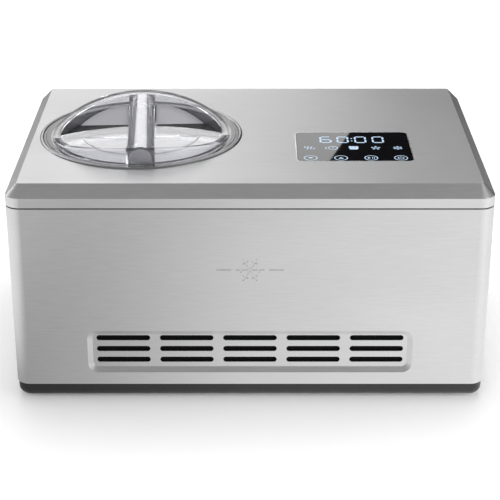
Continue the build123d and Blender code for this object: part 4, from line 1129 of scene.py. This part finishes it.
@dataclass
class Studio:
    """Floor, cards, lights and camera."""

    camera_height: float = 0.6851
    camera_back: float = 1.3407
    tilt: float = 24.06
    lens: float = 108.3
    sensor: float = 36.0
    sight: float = 50.0
    back: float = 1.5
    felt_gap: float = 0.12
    felt_top: float = 1.12
    card_foot: float = 0.58
    card_top: float = 2.6
    card_side: float = 3.4
    slant: tuple[float, float] = (0.304, -0.994)
    upper_ends: tuple[float, float] = (-0.6, 0.95)
    card_radiance: float = 1.85
    upper_radiance: float = 1.1
    floor_lift: float = 0.12
    far_lift: float = 0.9
    lift_range: tuple[float, float] = (0.2, 1.4)
    floor_reach: float = 12.0
    room: float = 0.38
    graded_reach: float = 0.6
    graded_peak: float = 1.35
    graded_side: float = 3.0
    graded_back: float = 0.3
    graded_height: float = 0.8 * MM
    grades: tuple[tuple[float, float], ...] = (
        (-0.5, 1.0), (-0.36, 0.9), (-0.25, 0.28), (-0.12, 0.5), (0.0, 0.8), (0.2, 0.95), (0.4, 1.0))
    boxes: tuple[SoftBox, ...] = (
        SoftBox("low_key", (1.0, -0.75, 0.62), (0.1, -0.3, 0.0), (0.6, 0.5), 3.2),
        SoftBox("overhead", (0.0, 0.4, 1.6), (0, 0, 0), (1.2, 1.2), 2.6, False),
        SoftBox("front_fill", (-0.5, -1.5, 1.1), (0, 0, 0.1), (1.4, 1.0), 1.6, False),
    )

    def sheet(self, name: str, corners: list[Point], material: bpy.types.Material) -> bpy.types.Object:
        """Stage a flat sheet.

        Args:
            name: Its name.
            corners: Its corners in order.
            material: Its material.

        Returns:
            The staged sheet.
        """
        mesh = bpy.data.meshes.new(name)
        mesh.from_pydata(corners, [], [tuple(range(len(corners)))])
        mesh.materials.append(material)
        sheet = placed(name, mesh)
        return sheet

    def floor(self) -> None:
        """Lay the pale floor, lifted to white where nothing shades it."""
        graph = Graph("pale_floor")
        speck = graph.noise(graph.place(), 300.0, 3.0)
        shader = graph.surface(Base_Color=graph.tint(speck, (0.9, 0.9, 0.9), (0.93, 0.93, 0.93)),
                               Roughness=0.7)
        shader.inputs["Emission Color"].default_value = (1, 1, 1, 1)
        seen = graph.add("ShaderNodeLightPath").outputs["Is Camera Ray"]
        away = graph.add("ShaderNodeVectorMath", operation="LENGTH")
        graph.join(graph.place(), away.inputs[0])
        lift = graph.spread(away.outputs["Value"], self.floor_lift, self.far_lift,
                            *self.lift_range)
        graph.join(graph.math("MULTIPLY", seen, lift), shader.inputs["Emission Strength"])
        reach = self.floor_reach
        corners = [(-reach, -reach, 0), (reach, -reach, 0), (reach, reach, 0), (-reach, reach, 0)]
        self.sheet("floor", corners, graph.material)

    def card(self, name: str, corners: list[Point], radiance: float) -> None:
        """Stand a card that only shows in reflections.

        Args:
            name: Its name.
            corners: Its corners in order.
            radiance: How bright it glows; a dark felt card at 0.
        """
        graph = Graph(name + "_cloth")
        weave = graph.noise(graph.place(), 200.0, 2.0)
        shader = graph.surface(Base_Color=graph.tint(weave, (0.01, 0.01, 0.01), (0.02, 0.02, 0.02)),
                               Roughness=0.95)
        shader.inputs["Emission Color"].default_value = (1, 1, 1, 1)
        shader.inputs["Emission Strength"].default_value = radiance
        self.reflector(self.sheet(name, corners, graph.material))

    def reflector(self, sheet: bpy.types.Object) -> None:
        """Let a sheet show in reflections only.

        Args:
            sheet: The sheet.
        """
        sheet.visible_camera = False
        sheet.visible_shadow = False
        sheet.visible_diffuse = False

    def graded_card(self) -> None:
        """Lay a graded card around the foot: dim in front on the left, bright at both sides."""
        graph = Graph("graded_cloth")
        sides = graph.add("ShaderNodeSeparateXYZ")
        graph.join(graph.place(), sides.inputs[0])
        ramp = graph.add("ShaderNodeValToRGB")
        across = graph.spread(sides.outputs[0], 0, 1, -self.graded_reach, self.graded_reach)
        graph.join(across, ramp.inputs[0])
        stops = ramp.color_ramp.elements
        while len(stops) < len(self.grades):
            stops.new(0.5)
        for element, (across, level) in zip(stops, self.grades):
            element.position = 0.5 + across / (2 * self.graded_reach)
            element.color = (level, level, level, 1)
        shader = graph.surface(Base_Color=(0.02, 0.02, 0.02, 1), Roughness=0.95)
        graph.join(ramp.outputs[0], shader.inputs["Emission Color"])
        shader.inputs["Emission Strength"].default_value = self.graded_peak
        wide, back, lift = self.graded_side, self.graded_back, self.graded_height
        corners = [(-wide, -wide, lift), (wide, -wide, lift), (wide, back, lift), (-wide, back, lift)]
        self.reflector(self.sheet("graded_card", corners, graph.material))

    def lights(self) -> None:
        """Stand a slanted bright card and dark felt behind, and hang the soft boxes."""
        back, far = self.back, self.back + self.felt_gap
        foot, top, side = self.card_foot, self.card_top, self.card_side
        low_end, high_end = self.slant
        self.card("back_card", [(low_end, back, foot), (high_end, back, top), (-side, back, top),
                                (-side, back, foot)], self.card_radiance)
        felt = self.felt_top
        self.card("back_felt", [(-side, far, 0.0), (side, far, 0.0), (side, far, felt),
                                (-side, far, felt)], 0.0)
        left, right = self.upper_ends
        self.card("upper_card", [(left, far, felt), (right, far, felt), (right, far, top),
                                 (left, far, top)], self.upper_radiance)
        self.graded_card()
        for box in self.boxes:
            box.hang()

    def sky(self) -> None:
        """Set the soft light of the room."""
        world = bpy.data.worlds.new("studio")
        world.use_nodes = True
        back = world.node_tree.nodes["Background"]
        back.inputs[0].default_value = (1, 1, 1, 1)
        back.inputs[1].default_value = self.room
        bpy.context.scene.world = world

    def camera(self) -> None:
        """Set up the camera in front, above and looking down."""
        data = bpy.data.cameras.new("camera")
        data.lens = self.lens
        data.sensor_width = self.sensor
        data.clip_end = self.sight
        camera = placed("camera", data)
        camera.location = (0, -self.camera_back, self.camera_height)
        camera.rotation_euler = (math.radians(90 - self.tilt), 0, 0)
        bpy.context.scene.camera = camera

    def build(self) -> None:
        """Make the whole studio."""
        self.camera()
        self.floor()
        self.lights()
        self.sky()
        bpy.context.scene.view_settings.view_transform = "Standard"


def main() -> None:
    """Build the sub-assemblies in order."""
    logging.basicConfig(level=logging.INFO, format="%(message)s")
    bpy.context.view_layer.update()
    Studio().build()
    for assembly in (Case(), Opening(), TouchPanel(), Drive(), Cooling()):
        log.info("building %s", type(assembly).__name__)
        assembly.build()


if __name__ == "__main__":
    main()
